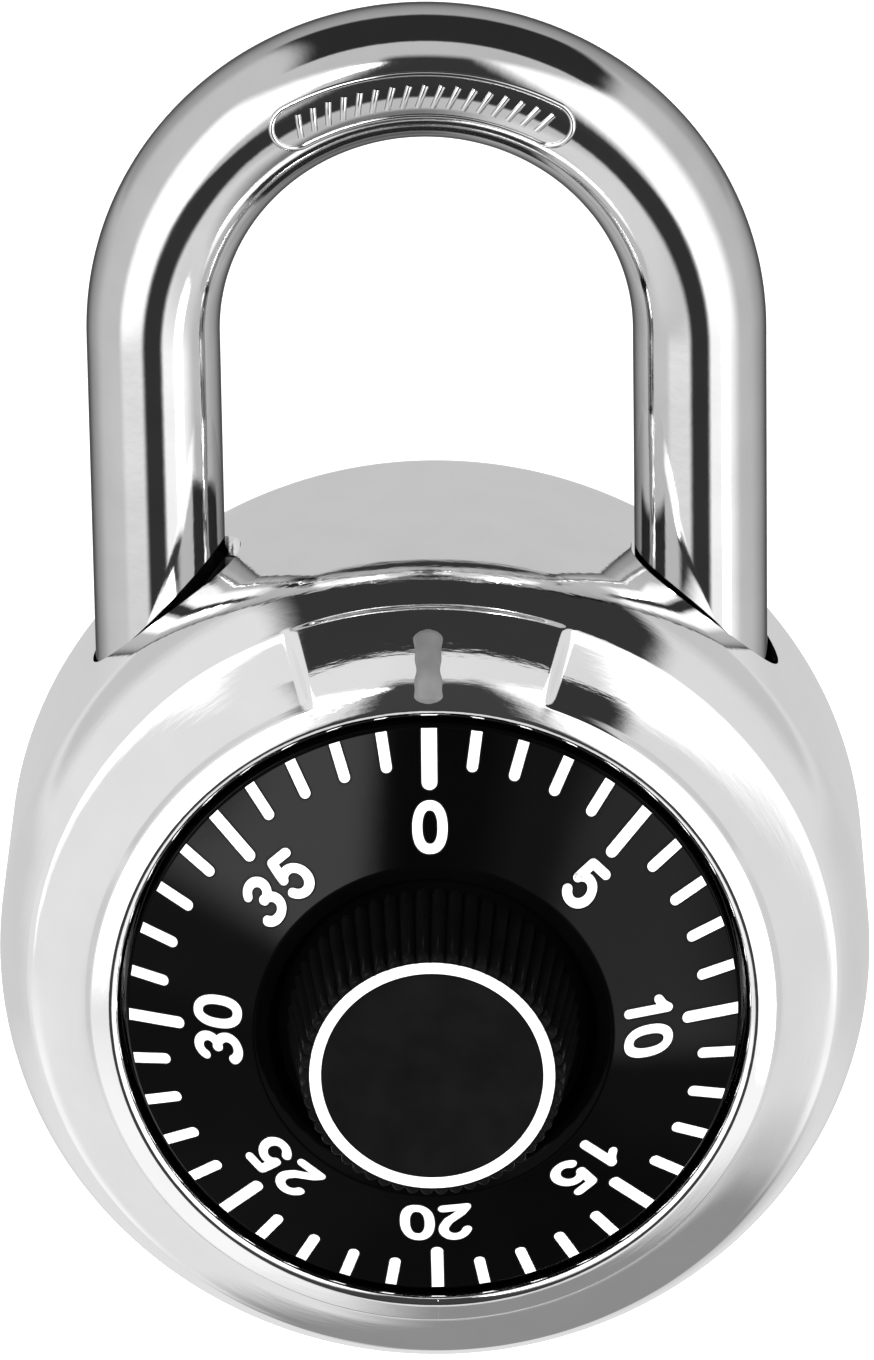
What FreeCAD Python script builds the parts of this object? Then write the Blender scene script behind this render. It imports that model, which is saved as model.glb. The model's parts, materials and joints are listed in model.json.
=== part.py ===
import FreeCAD, Part
import math
import os

import Sketcher
from FreeCAD import Placement, Rotation, Vector

# Combination padlock: a round stainless body with a turning dial, a pack of wheels
# behind it, a fence lever, a sprung latch and a steel shackle.
# Frame: +Z runs up along the shackle and the dial faces -Y. The origin is the point
# where the lock hangs, the inside top of the bow, midway through the bar.
# Each sub-part is drawn about the dial axis and then lowered by hang_height.

doc = FreeCAD.newDocument("CombinationPadlock")
sheet = doc.addObject("Spreadsheet::Sheet", "Sizes")

DRIVING_SIZES = [
    ("hang_height", 45.3, "inside top of the bow above the dial axis"),
    ("leg_offset", 14.9, "shackle leg centre from the middle plane"),
    ("bar_radius", 3.65, "shackle bar"),
    ("heel_end", -9.5, "lower end of the long leg"),
    ("toe_end", 9.6, "lower end of the short leg"),
    ("toe_chamfer", 0.9, "chamfer on the end of the short leg"),
    ("notch_floor", 1.7, "depth of the latch notch in the short leg"),
    ("notch_bottom", 16.0, "top of the notch ramp"),
    ("notch_top", 18.6, "upper shelf of the notch"),
    ("ramp_foot", 10.3, "where the notch ramp runs out"),
    ("ring_groove_radius", 2.9, "groove for the heel ring"),
    ("ring_groove_low", -8.5, "lower side of the heel ring groove"),
    ("ring_groove_width", 1.2, "heel ring groove"),
    ("heel_ring_radius", 4.1, "outer radius of the heel ring"),
    ("heel_ring_thick", 1.0, "heel ring"),
    ("heel_ring_gap", 0.1, "gap under the heel ring in its groove"),
    ("ring_gap_half", 1.6, "half of the gap in the heel ring"),
    ("case_radius", 24.0, "round body, 48 mm across"),
    ("wall", 1.0, "drawn sheet of the outer case"),
    ("band_front", -6.3, "front end of the straight side band"),
    ("band_rear", 6.0, "rear end of the straight side band"),
    ("lip_rear", 7.6, "rear of the crimped lip"),
    ("lip_flat_radius", 22.7, "where the crimped lip turns flat"),
    ("lip_edge_radius", 21.7, "inner edge of the crimped lip"),
    ("shoulder_radius", 22.4, "where the rounded shoulder meets the sloping face"),
    ("shoulder_front", -10.9, "depth of that line"),
    ("shoulder_bend", 9.0, "bend radius of the shoulder"),
    ("shoulder_inset", 0.5, "inside of the shoulder, in from the outside"),
    ("shoulder_sink", 0.9, "inside of the shoulder, behind the outside"),
    ("channel_radius", 18.95, "inner edge of the C-shaped channel"),
    ("channel_front", -13.8, "depth of that edge"),
    ("channel_sink", 0.6, "inside of the step, behind that edge"),
    ("annulus_radius", 18.7, "outer edge of the raised annulus"),
    ("annulus_front", -14.5, "depth of that edge"),
    ("mouth_radius", 17.05, "opening that the dial turns in"),
    ("mouth_round", 0.55, "rounded lip of the opening"),
    ("mouth_front", -14.9, "front of the opening"),
    ("pan_front", -12.0, "floor behind the dial"),
    ("pan_hole_radius", 3.6, "hole in that floor for the bushing"),
    ("cut_over", 1.0, "an open cut runs this far past the material"),
    ("pad_angle", 40.0, "sector of the raised index pad"),
    ("pad_radius", 22.2, "outer edge of the index pad"),
    ("pad_rise", 0.6, "height of the index pad over the sloping face"),
    ("pad_root", 0.2, "the pad starts this far inside the annulus"),
    ("pad_root_sink", 0.4, "root of the pad behind the channel's edge"),
    ("pad_edge_lean", 0.1, "lean of the pad's outer edge"),
    ("pad_edge_sink", 0.3, "foot of that edge behind the sloping face"),
    ("toe_hole_radius", 4.15, "case hole of the short leg"),
    ("toe_hole_offset", 14.55, "its centre, set inwards"),
    ("heel_hole_radius", 4.05, "case hole of the long leg"),
    ("heel_hole_offset", 15.1, "its centre, set outwards"),
    ("mark_width", 1.4, "painted index mark"),
    ("mark_inner", 17.75, "inner end of the mark"),
    ("mark_outer", 21.1, "outer end of the mark"),
    ("mark_outer_front", -12.45, "depth of the pad under that end"),
    ("mark_rise", 0.22, "height of the mark over the pad"),
    ("mark_depth", 0.3, "depth of the mark's seat"),
    ("liner_radius", 22.9, "outer radius of the inner case"),
    ("liner_wall", 1.1, "inner case sheet"),
    ("liner_front", -6.2, "front of the inner case"),
    ("liner_mouth", 17.5, "opening in the front of the inner case"),
    ("plate_front", 4.4, "front of the mechanism plate"),
    ("plate_thick", 0.8, "mechanism plate"),
    ("cover_flange_thick", 1.4, "edge of the rear cover under the lip"),
    ("cover_rear", 7.8, "rear face of the lock"),
    ("cover_radius", 21.5, "raised middle of the rear cover"),
    ("cover_bevel", 0.5, "bevel round that middle"),
    ("wheel_radius", 9.5, "wheels and drive cam"),
    ("wheel_thick", 1.2, "wheels and drive cam"),
    ("gate_width", 2.8, "gates in the wheels"),
    ("gate_depth", 1.8, "gates in the wheels"),
    ("cam_gates", 12, "gates round the drive cam"),
    ("wheel_1_rear", 0.6, "rear face of the rear wheel"),
    ("wheel_2_rear", -3.2, "rear face of the middle wheel"),
    ("cam_rear", -7.0, "rear face of the drive cam"),
    ("fly_orbit", 5.6, "fly pins from the dial axis"),
    ("fly_radius", 0.8, "fly pins"),
    ("fly_reach", 1.8, "fly pins beyond a wheel's face"),
    ("cam_fly_angle", 105.0, "cam's fly pin, anticlockwise from +X seen from the front"),
    ("fly_2_angle", 268.0, "middle wheel's fly pin"),
    ("fly_1_angle", 251.0, "rear wheel's fly pin"),
    ("post_radius", 2.2, "centre post that the wheels turn on"),
    ("running_gap", 0.08, "radial gap of a running fit"),
    ("post_front", -5.4, "front end of the centre post"),
    ("post_flange_radius", 4.0, "flange of the post on the plate"),
    ("post_flange_thick", 1.0, "that flange"),
    ("clip_groove_radius", 1.8, "groove for the wheel clip"),
    ("clip_front", -5.0, "front of the wheel clip"),
    ("clip_thick", 0.45, "wheel clip"),
    ("spacer_radius", 3.6, "spacers and clip"),
    ("spacer_gap", 0.15, "end play beside each wheel"),
    ("spindle_radius", 2.4, "dial spindle"),
    ("spindle_tail_radius", 1.8, "spindle where the cam sits"),
    ("spindle_front", -20.0, "front end of the spindle, inside the knob"),
    ("spindle_rear", -6.4, "rear end of the spindle"),
    ("retainer_radius", 3.2, "washer staked behind the cam"),
    ("retainer_thick", 0.45, "that washer"),
    ("bushing_flange_radius", 5.2, "flange of the dial bushing"),
    ("bushing_flange_thick", 0.6, "that flange"),
    ("washer_radius", 4.6, "conical spring washer"),
    ("washer_clear", 0.3, "gap between that washer and the spindle"),
    ("washer_thick", 0.3, "conical spring washer"),
    ("washer_rise", 1.0, "height of its cone"),
    ("thrust_radius", 8.0, "thrust washer behind the dial"),
    ("thrust_thick", 0.5, "that washer"),
    ("dial_radius", 16.75, "edge of the dial"),
    ("dial_rear", -12.6, "rear face of the dial"),
    ("dial_edge_front", -14.75, "front of the dial's edge"),
    ("dial_edge_bevel", 0.18, "bevel on the dial's edge"),
    ("dial_hub_radius", 9.75, "top of the dial's cone"),
    ("dial_hub_front", -17.85, "depth of that line"),
    ("moat_flare", 0.35, "the hollow round the knob widens this much at its mouth"),
    ("moat_radius", 8.45, "foot of the hollow round the knob"),
    ("moat_front", -16.5, "seat of the knob"),
    ("graduations", 40, "marks round the dial"),
    ("mark_long", 3.15, "every fifth graduation"),
    ("mark_short", 2.05, "the other graduations"),
    ("mark_bar", 0.62, "width of a graduation"),
    ("mark_bar_zero", 0.8, "width of the zero graduation"),
    ("mark_top", 0.08, "top of a graduation below the dial's face"),
    ("mark_foot", 0.35, "foot of a graduation below the dial's face"),
    ("mark_inset", 0.15, "graduations start this far in from the bevel"),
    ("knob_base_radius", 7.95, "crests of the grip at the dial"),
    ("knob_top_radius", 7.1, "crests of the grip at the front"),
    ("knob_front", -23.6, "front face of the knob"),
    ("flutes", 54, "flutes round the grip"),
    ("flute_depth", 0.35, "depth of a flute"),
    ("inlay_outer", 6.6, "white ring on the knob"),
    ("inlay_inner", 5.95, "white ring on the knob"),
    ("inlay_depth", 0.3, "depth of the ring's groove"),
    ("lever_x", -13.0, "lever pivot"),
    ("lever_z", -13.0, "lever pivot"),
    ("lever_thick", 1.6, "lever plate"),
    ("lever_boss_half", 2.4, "lever round its stud, half width"),
    ("lever_boss_side", 0.6, "widest line of the boss below the stud"),
    ("lever_boss_low", 2.5, "end of the lever below the stud"),
    ("lever_neck_right", 2.1, "lever above the boss, right of the stud"),
    ("lever_neck_left", 1.9, "lever above the boss, left of the stud"),
    ("lever_neck_rise", 2.0, "neck above the stud, right side"),
    ("lever_neck_left_rise", 3.0, "neck above the stud, left side"),
    ("lever_arm_right", 1.4, "arm, right of the stud"),
    ("lever_arm_left", 1.2, "arm, left of the stud"),
    ("lever_arm_low", -4.0, "lower end of the straight arm"),
    ("lever_arm_high", 3.5, "upper end of the straight arm"),
    ("lever_arm_bend", 6.2, "bend of the arm's left side"),
    ("lever_elbow_right", 7.6, "elbow under the latch, right side"),
    ("lever_elbow_left", 8.7, "elbow under the latch, left side"),
    ("lever_elbow_offset", 0.1, "elbow's right side from the latch pivot"),
    ("lever_head_foot", 0.4, "corner of the lever above the latch's foot"),
    ("lever_head_rise", 1.9, "end of the lever above the latch pivot"),
    ("stud_radius", 1.5, "lever stud"),
    ("stud_shoulder_radius", 2.4, "stud behind the lever"),
    ("stud_shoulder_gap", 0.1, "gap between that shoulder and the lever"),
    ("stud_head_radius", 2.7, "stud's head"),
    ("stud_head_front", -4.6, "front of the stud's head"),
    ("stud_head_thick", 0.6, "stud's head"),
    ("fence_half", 0.6, "half of the fence's height"),
    ("fence_tip", -9.75, "fence's tip beside the wheel rims"),
    ("fence_root", -12.8, "fence's outer edge"),
    ("fence_front", -8.5, "front end of the fence"),
    ("latch_x", -9.4, "latch pivot"),
    ("latch_z", 11.5, "latch pivot"),
    ("latch_rear", 2.9, "rear face of the latch"),
    ("latch_thick", 2.0, "latch plate"),
    ("latch_left", -10.7, "latch's side beside the short leg"),
    ("latch_right", -8.0, "latch's other side"),
    ("latch_foot", 10.0, "lower end of the latch"),
    ("tongue_tip", -12.8, "tip of the tongue in the notch"),
    ("tongue_low", 16.3, "underside of the tongue"),
    ("tongue_high", 17.6, "top of the tongue"),
    ("pin_radius", 0.85, "latch pin"),
    ("pin_front", -2.8, "front end of the latch pin"),
    ("pin_rear", 3.5, "rear end of the latch pin"),
    ("lever_coil_radius", 2.25, "lever spring, middle of the wire"),
    ("lever_wire", 0.5, "lever spring wire"),
    ("lever_turns", 3, "lever spring, whole turns"),
    ("lever_spring_front", -3.6, "front of the lever spring"),
    ("lever_tip_x", -10.9, "bent tip of the lever spring beside the lever"),
    ("lever_tip_z", -8.0, "bent tip of the lever spring beside the lever"),
    ("latch_coil_radius", 1.3, "latch spring, middle of the wire"),
    ("latch_wire", 0.36, "latch spring wire"),
    ("latch_turns", 2, "latch spring, whole turns"),
    ("latch_spring_front", -2.4, "front of the latch spring"),
    ("latch_tip_z", 14.5, "bent tip of the latch spring beside the latch"),
    ("react_tip_x", -8.65, "other bent tip, beside the lever"),
    ("react_tip_z", 8.4, "other bent tip, beside the lever"),
    ("coil_pitch", 1.12, "pitch of a spring over its wire"),
    ("coil_steps", 16, "straight steps in one turn of a spring"),
    ("wire_sides", 8, "facets round a spring's wire"),
    ("leg_over", 1.0, "a spring's plain leg runs this far past its post"),
    ("tip_corner", 0.3, "corner of a bent tip, as a share of the wire"),
    ("touch_gap", 0.02, "gap drawn between parts that touch"),
    ("spring_post_x", -17.6, "post that holds the lever spring's leg"),
    ("spring_post_z", -7.2, "post that holds the lever spring's leg"),
    ("spring_post_radius", 0.8, "that post"),
    ("spring_post_front", -4.2, "front end of that post"),
    ("guide_left", 10.0, "heel guide block"),
    ("guide_right", 19.6, "heel guide block"),
    ("guide_front", -4.7, "heel guide block"),
    ("guide_low", 5.0, "heel guide block"),
    ("guide_high", 8.6, "heel guide block"),
    ("guide_gap", 0.1, "radial gap round the long leg"),
]
for row, (alias, number, note) in enumerate(DRIVING_SIZES, start=1):
    sheet.set("A%d" % row, note)
    sheet.set("B%d" % row, str(number))
    sheet.setAlias("B%d" % row, alias)
doc.recompute()
SIZE = {alias: float(sheet.get(alias)) for alias, number, note in DRIVING_SIZES}


def value(text):
    """Number for a sum of products, such as 'case_radius - 0.5*wall'."""
    total = 0.0
    sign = 1.0
    for word in str(text).split():
        if word in ("+", "-"):
            sign = 1.0 if word == "+" else -1.0
            continue
        product = sign
        for factor in word.split("*"):
            product *= SIZE[factor] if factor in SIZE else float(factor)
        total += product
        sign = 1.0
    return total


def formula(text):
    """The same sum written for the expression engine."""
    words = []
    for word in str(text).split():
        factors = ["Sizes." + factor if factor in SIZE else factor for factor in word.split("*")]
        words.append("*".join(factors))
    return " ".join(words)


def name_part(item, label):
    """Give a finished sub-part its label and lower it from the dial axis."""
    item.Label = label
    item.setExpression("Placement.Base.z", formula("- hang_height"))
    return item


def new_body(label):
    return name_part(doc.addObject("PartDesign::Body", label + "_body"), label)


def new_sketch(body, role, shift="0"):
    """Sketch on one of the body's own planes, moved along +Z, +X or, for XZ_Plane, +Y."""
    support = next(item for item in body.Origin.OriginFeatures if item.Role == role)
    sketch = body.newObject("Sketcher::SketchObject", body.Name + "_sketch")
    sketch.AttachmentSupport = [(support, "")]
    sketch.MapMode = "FlatFace"
    way = "-1 * (" if role == "XZ_Plane" else "1 * ("
    sketch.setExpression("AttachmentOffset.Base.z", way + formula(shift) + ")")
    return sketch


def place_point(sketch, geometry, position, across, upward):
    """Tie one point of the sketch to the origin with bound distances."""
    for kind, axis, text in (("DistanceX", -2, across), ("DistanceY", -1, upward)):
        distance = value(text)
        if distance == 0:
            sketch.addConstraint(Sketcher.Constraint("PointOnObject", geometry, position, axis))
            continue
        if distance > 0:
            rule = Sketcher.Constraint(kind, -1, 1, geometry, position, distance)
            bound = formula(text)
        else:
            rule = Sketcher.Constraint(kind, geometry, position, -1, 1, -distance)
            bound = "-1 * (" + formula(text) + ")"
        index = sketch.addConstraint(rule)
        sketch.setExpression("Constraints[%d]" % index, bound)


def arc_between(start, end, radius):
    """Arc from start to end; a positive radius turns anticlockwise."""
    chord = end.sub(start)
    middle = start.add(end).multiply(0.5)
    height = math.sqrt(max(radius * radius - chord.Length * chord.Length / 4, 0.0))
    side = Vector(-chord.y, chord.x, 0).normalize().multiply(math.copysign(height, radius))
    centre = middle.add(side)
    first, last = (start, end) if radius > 0 else (end, start)
    angle_first = math.atan2(first.y - centre.y, first.x - centre.x)
    angle_last = math.atan2(last.y - centre.y, last.x - centre.x)
    circle = Part.Circle(centre, Vector(0, 0, 1), abs(radius))
    return Part.ArcOfCircle(circle, angle_first, angle_last)


def draw_outline(sketch, points):
    """Closed outline; a third entry is the radius of the arc that ends at that point."""
    spots = [Vector(value(point[0]), value(point[1]), 0) for point in points]
    segments = []
    for index, point in enumerate(points):
        start = spots[index - 1]
        end = spots[index]
        if len(point) == 3:
            radius = value(point[2])
            geometry = sketch.addGeometry(arc_between(start, end, radius), False)
            ends = (1, 2) if radius > 0 else (2, 1)
            rule = sketch.addConstraint(Sketcher.Constraint("Radius", geometry, abs(radius)))
            sketch.setExpression("Constraints[%d]" % rule, "abs(" + formula(point[2]) + ")")
        else:
            geometry = sketch.addGeometry(Part.LineSegment(start, end), False)
            ends = (1, 2)
        segments.append((geometry, ends))
    for index, (geometry, ends) in enumerate(segments):
        following, next_ends = segments[(index + 1) % len(segments)]
        sketch.addConstraint(
            Sketcher.Constraint("Coincident", geometry, ends[1], following, next_ends[0])
        )
        place_point(sketch, geometry, ends[1], points[index][0], points[index][1])


def draw_circle(sketch, across, upward, radius):
    centre = Vector(value(across), value(upward), 0)
    circle = Part.Circle(centre, Vector(0, 0, 1), value(radius))
    geometry = sketch.addGeometry(circle, False)
    place_point(sketch, geometry, 3, across, upward)
    rule = sketch.addConstraint(Sketcher.Constraint("Radius", geometry, value(radius)))
    sketch.setExpression("Constraints[%d]" % rule, formula(radius))


def add_pad(body, sketch, length, middle=False, kind="Pad"):
    feature = body.newObject("PartDesign::" + kind, body.Name + "_" + kind)
    feature.Profile = sketch
    feature.setExpression("Length", formula(length))
    if middle:
        feature.SideType = "Symmetric"
    return feature


def turned(label, profile, angle=360):
    """Part turned about the dial axis from (radius, depth) points."""
    body = new_body(label)
    sketch = new_sketch(body, "XY_Plane")
    draw_outline(sketch, profile)
    feature = body.newObject("PartDesign::Revolution", label + "_turned")
    feature.Profile = sketch
    feature.ReferenceAxis = (sketch, ["V_Axis"])
    feature.Angle = angle
    return body


def ring(label, inner, outer, front, rear):
    """Plain washer or tube round the dial axis."""
    return turned(label, [(inner, front), (outer, front), (outer, rear), (inner, rear)])


def plate(label, points, rear, thick):
    """Flat plate in the dial plane, its rear face at the given depth."""
    body = new_body(label)
    sketch = new_sketch(body, "XZ_Plane", rear)
    draw_outline(sketch, points)
    add_pad(body, sketch, thick)
    return body


SMALLEST_CHANGE = 0.01  # mm3


def must_change(body, before, feature):
    """Stop if a cut or an addition left the volume as it was."""
    doc.recompute()
    if abs(body.Shape.Volume - before) < SMALLEST_CHANGE:
        raise RuntimeError(feature.Name + " changed nothing")


def cut_through(body, sketch, length, reverse=False, middle=False):
    doc.recompute()
    before = body.Shape.Volume
    feature = add_pad(body, sketch, length, middle, "Pocket")
    feature.Reversed = reverse
    must_change(body, before, feature)
    return feature


def pin(label, across, upward, radius, front, rear):
    """Round pin along the dial axis direction."""
    item = doc.addObject("Part::Cylinder", label)
    item.setExpression("Radius", formula(radius))
    item.setExpression("Height", formula(rear) + " - (" + formula(front) + ")")
    item.Placement = Placement(Vector(0, 0, 0), Rotation(Vector(1, 0, 0), -90))
    item.setExpression("Placement.Base.x", formula(across))
    item.setExpression("Placement.Base.y", formula(front))
    item.setExpression("Placement.Base.z", formula(upward + " - hang_height"))
    return item


def joined(label, pieces):
    item = doc.addObject("Part::MultiFuse", label)
    item.Shapes = pieces
    item.Refine = True
    return item


def without(label, base, tool):
    item = doc.addObject("Part::Cut", label)
    item.Base = base
    item.Tool = tool
    return item


def lowered(shape):
    """Shape drawn about the dial axis, moved to its place under the bow."""
    shape.Placement = Placement(Vector(0, 0, -SIZE["hang_height"]), Rotation())
    return shape


def shape_part(label, shape):
    """Part whose shape is made by Part's own functions."""
    item = doc.addObject("Part::Feature", label)
    item.Shape = shape
    return name_part(item, label)


# ---- outer case -------------------------------------------------------------

CASE_OUTLINE = [
    ("mouth_radius", "mouth_front + mouth_round"),
    ("mouth_radius + mouth_round", "mouth_front", "mouth_round"),
    ("annulus_radius", "annulus_front"),
    ("channel_radius", "channel_front"),
    ("shoulder_radius", "shoulder_front"),
    ("case_radius", "band_front", "shoulder_bend"),
    ("case_radius", "band_rear"),
    ("lip_flat_radius", "lip_rear"),
    ("lip_edge_radius", "lip_rear"),
    ("lip_edge_radius", "lip_rear - wall"),
    ("case_radius - wall", "lip_rear - wall"),
    ("case_radius - wall", "band_front"),
    ("shoulder_radius - shoulder_inset", "shoulder_front + shoulder_sink"),
    ("mouth_radius + wall", "channel_front + channel_sink"),
    ("mouth_radius + wall", "pan_front + wall"),
    ("pan_hole_radius", "pan_front + wall"),
    ("pan_hole_radius", "pan_front"),
    ("mouth_radius", "pan_front"),
]


def add_index_pad(body):
    """Raised sector of the face at the top, which carries the index mark."""
    sketch = new_sketch(body, "YZ_Plane")
    draw_outline(sketch, [
        ("annulus_front", "annulus_radius - pad_root"),
        ("shoulder_front - pad_rise", "pad_radius"),
        ("shoulder_front + pad_edge_sink", "pad_radius + pad_edge_lean"),
        ("channel_front + pad_root_sink", "annulus_radius - pad_root"),
    ])
    feature = body.newObject("PartDesign::Revolution", "index_pad")
    feature.Profile = sketch
    feature.ReferenceAxis = (sketch, ["H_Axis"])
    feature.setExpression("Angle", formula("pad_angle"))
    feature.Midplane = True


def cut_leg_hole(body, offset, radius):
    """Round hole for a shackle leg, cut upwards from the dial axis."""
    sketch = new_sketch(body, "XY_Plane")
    draw_circle(sketch, offset, "0", radius)
    cut_through(body, sketch, "case_radius + cut_over", reverse=True)


front_shell = turned("front_case_shell", CASE_OUTLINE)
add_index_pad(front_shell)
cut_leg_hole(front_shell, "- toe_hole_offset", "toe_hole_radius")
cut_leg_hole(front_shell, "heel_hole_offset", "heel_hole_radius")

index_mark = new_body("index_mark")
mark_sketch = new_sketch(index_mark, "YZ_Plane")
draw_outline(mark_sketch, [
    ("mouth_front - mark_rise", "mark_inner"),
    ("annulus_front - mark_rise", "annulus_radius"),
    ("mark_outer_front - mark_rise", "mark_outer"),
    ("mark_outer_front + mark_depth", "mark_outer"),
    ("annulus_front + mark_depth", "annulus_radius"),
    ("mouth_front + mark_depth", "mark_inner"),
])
add_pad(index_mark, mark_sketch, "mark_width", middle=True)
front_case = without("front_case", front_shell, index_mark)

inner_case = turned("inner_case", [
    ("liner_mouth", "liner_front"),
    ("liner_radius", "liner_front"),
    ("liner_radius", "plate_front"),
    ("liner_radius - liner_wall", "plate_front"),
    ("liner_radius - liner_wall", "liner_front + liner_wall"),
    ("liner_mouth", "liner_front + liner_wall"),
])
cut_leg_hole(inner_case, "- toe_hole_offset", "toe_hole_radius")
cut_leg_hole(inner_case, "heel_hole_offset", "heel_hole_radius")

rear_cover = turned("rear_cover", [
    ("0", "plate_front + plate_thick"),
    ("liner_radius", "plate_front + plate_thick"),
    ("liner_radius", "plate_front + plate_thick + cover_flange_thick"),
    ("cover_radius", "plate_front + plate_thick + cover_flange_thick"),
    ("cover_radius", "cover_rear - cover_bevel"),
    ("cover_radius - cover_bevel", "cover_rear"),
    ("0", "cover_rear"),
])

# ---- mechanism plate and what is fixed to it ---------------------------------

mechanism_plate = new_body("mechanism_plate")
plate_sketch = new_sketch(mechanism_plate, "XZ_Plane", "plate_front + plate_thick")
draw_circle(plate_sketch, "0", "0", "liner_radius")
draw_circle(plate_sketch, "0", "0", "post_radius")
draw_circle(plate_sketch, "lever_x", "lever_z", "stud_radius")
draw_circle(plate_sketch, "spring_post_x", "spring_post_z", "spring_post_radius")
add_pad(mechanism_plate, plate_sketch, "plate_thick")

centre_post = turned("centre_post", [
    ("0", "post_front"),
    ("post_radius", "post_front"),
    ("post_radius", "clip_front - touch_gap"),
    ("clip_groove_radius", "clip_front - touch_gap"),
    ("clip_groove_radius", "clip_front + clip_thick + touch_gap"),
    ("post_radius", "clip_front + clip_thick + touch_gap"),
    ("post_radius", "plate_front - post_flange_thick"),
    ("post_flange_radius", "plate_front - post_flange_thick"),
    ("post_flange_radius", "plate_front"),
    ("post_radius", "plate_front"),
    ("post_radius", "plate_front + plate_thick"),
    ("0", "plate_front + plate_thick"),
])
SPACER_BORE = "post_radius + touch_gap"
rear_spacer = ring("rear_spacer", SPACER_BORE, "spacer_radius",
                   "wheel_1_rear + spacer_gap", "plate_front - post_flange_thick")
wheel_spacer = ring("wheel_spacer", SPACER_BORE, "spacer_radius",
                    "wheel_2_rear + spacer_gap", "wheel_1_rear - wheel_thick - spacer_gap")
wheel_clip = ring("wheel_retaining_clip", "clip_groove_radius + touch_gap", "spacer_radius",
                  "clip_front", "clip_front + clip_thick")

LEVER_FRONT = "- 0.5*lever_thick"
LEVER_REAR = "0.5*lever_thick"
lever_stud = joined("lever_stud", [
    pin("stud_shank", "lever_x", "lever_z", "stud_radius",
        "stud_head_front", "plate_front + plate_thick"),
    pin("stud_shoulder", "lever_x", "lever_z", "stud_shoulder_radius",
        "0.5*lever_thick + stud_shoulder_gap", "plate_front"),
    pin("stud_head", "lever_x", "lever_z", "stud_head_radius",
        "stud_head_front", "stud_head_front + stud_head_thick"),
])
spring_post = pin("spring_post", "spring_post_x", "spring_post_z", "spring_post_radius",
                  "spring_post_front", "plate_front + plate_thick")

heel_guide = new_body("heel_guide")
guide_sketch = new_sketch(heel_guide, "XY_Plane", "guide_low")
draw_outline(guide_sketch, [
    ("guide_left", "guide_front"),
    ("guide_right", "guide_front"),
    ("guide_right", "plate_front"),
    ("guide_left", "plate_front"),
])
draw_circle(guide_sketch, "leg_offset", "0", "bar_radius + guide_gap")
add_pad(heel_guide, guide_sketch, "guide_high - guide_low")

# ---- dial bearing ------------------------------------------------------------

dial_bushing = turned("dial_bushing", [
    ("spindle_radius + running_gap", "pan_front"),
    ("pan_hole_radius", "pan_front"),
    ("pan_hole_radius", "pan_front + wall"),
    ("bushing_flange_radius", "pan_front + wall"),
    ("bushing_flange_radius", "pan_front + wall + bushing_flange_thick"),
    ("spindle_radius + running_gap", "pan_front + wall + bushing_flange_thick"),
])
WASHER_FOOT = "pan_front + wall + bushing_flange_thick"
spring_washer = turned("spring_washer", [
    ("spindle_radius + washer_clear", WASHER_FOOT + " + washer_rise"),
    ("washer_radius", WASHER_FOOT),
    ("washer_radius", WASHER_FOOT + " + washer_thick"),
    ("spindle_radius + washer_clear", WASHER_FOOT + " + washer_rise + washer_thick"),
])
thrust_washer = ring("dial_thrust_washer", "pan_hole_radius", "thrust_radius",
                     "pan_front - thrust_thick", "pan_front")

# ---- dial, knob, spindle and drive cam ---------------------------------------

dial_blank = turned("dial_blank", [
    ("spindle_radius", "moat_front"),
    ("moat_radius", "moat_front"),
    ("moat_radius + moat_flare", "dial_hub_front + moat_flare"),
    ("dial_hub_radius", "dial_hub_front"),
    ("dial_radius - dial_edge_bevel", "dial_edge_front"),
    ("dial_radius", "dial_edge_front + dial_edge_bevel"),
    ("dial_radius", "dial_rear"),
    ("spindle_radius", "dial_rear"),
])


def graduation_bars(top, foot):
    """Bars along the sloping face of the dial, long at every fifth mark.

    top and foot are depths below that face, measured square to it.
    """
    rise = SIZE["dial_edge_front"] - SIZE["dial_hub_front"]
    run = SIZE["dial_radius"] - SIZE["dial_edge_bevel"] - SIZE["dial_hub_radius"]
    slope = math.degrees(math.atan2(rise, run))
    count = int(SIZE["graduations"])
    inset = SIZE["mark_inset"]
    end = SIZE["dial_radius"] - SIZE["dial_edge_bevel"] - inset
    bars = []
    for index in range(count):
        length = SIZE["mark_long"] if index % 5 == 0 else SIZE["mark_short"]
        width = SIZE["mark_bar_zero"] if index == 0 else SIZE["mark_bar"]
        bar = Part.makeBox(length, foot - top, width)
        bar.translate(Vector(-length, top, -width / 2))
        bar.rotate(Vector(0, 0, 0), Vector(0, 0, 1), slope)
        bar.translate(Vector(end, SIZE["dial_edge_front"] - inset * rise / run, 0))
        bar.rotate(Vector(0, 0, 0), Vector(0, 1, 0), -90 + index * 360 / count)
        bars.append(bar)
    return Part.makeCompound(bars)


dial_graduations = shape_part(
    "dial_graduations", lowered(graduation_bars(SIZE["mark_top"], SIZE["mark_foot"])))
graduation_pockets = shape_part(
    "graduation_pockets", lowered(graduation_bars(- SIZE["mark_foot"], SIZE["mark_foot"])))
dial = without("dial", dial_blank, graduation_pockets)


def fluted_wire(radius, depth):
    """Closed wire of crests and flutes round the dial axis at one depth."""
    count = 2 * int(SIZE["flutes"])
    points = []
    for index in range(count):
        reach = radius - SIZE["flute_depth"] * (index % 2)
        angle = 2 * math.pi * index / count
        points.append(Vector(reach * math.cos(angle), depth, reach * math.sin(angle)))
    return Part.makePolygon(points + points[:1])


def tube_shape(inner, outer, front, rear):
    """Ring round the dial axis made from two cylinders."""
    along = Vector(0, 1, 0)
    start = Vector(0, front, 0)
    return Part.makeCylinder(outer, rear - front, start, along).cut(
        Part.makeCylinder(inner, rear - front, start, along))


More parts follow.
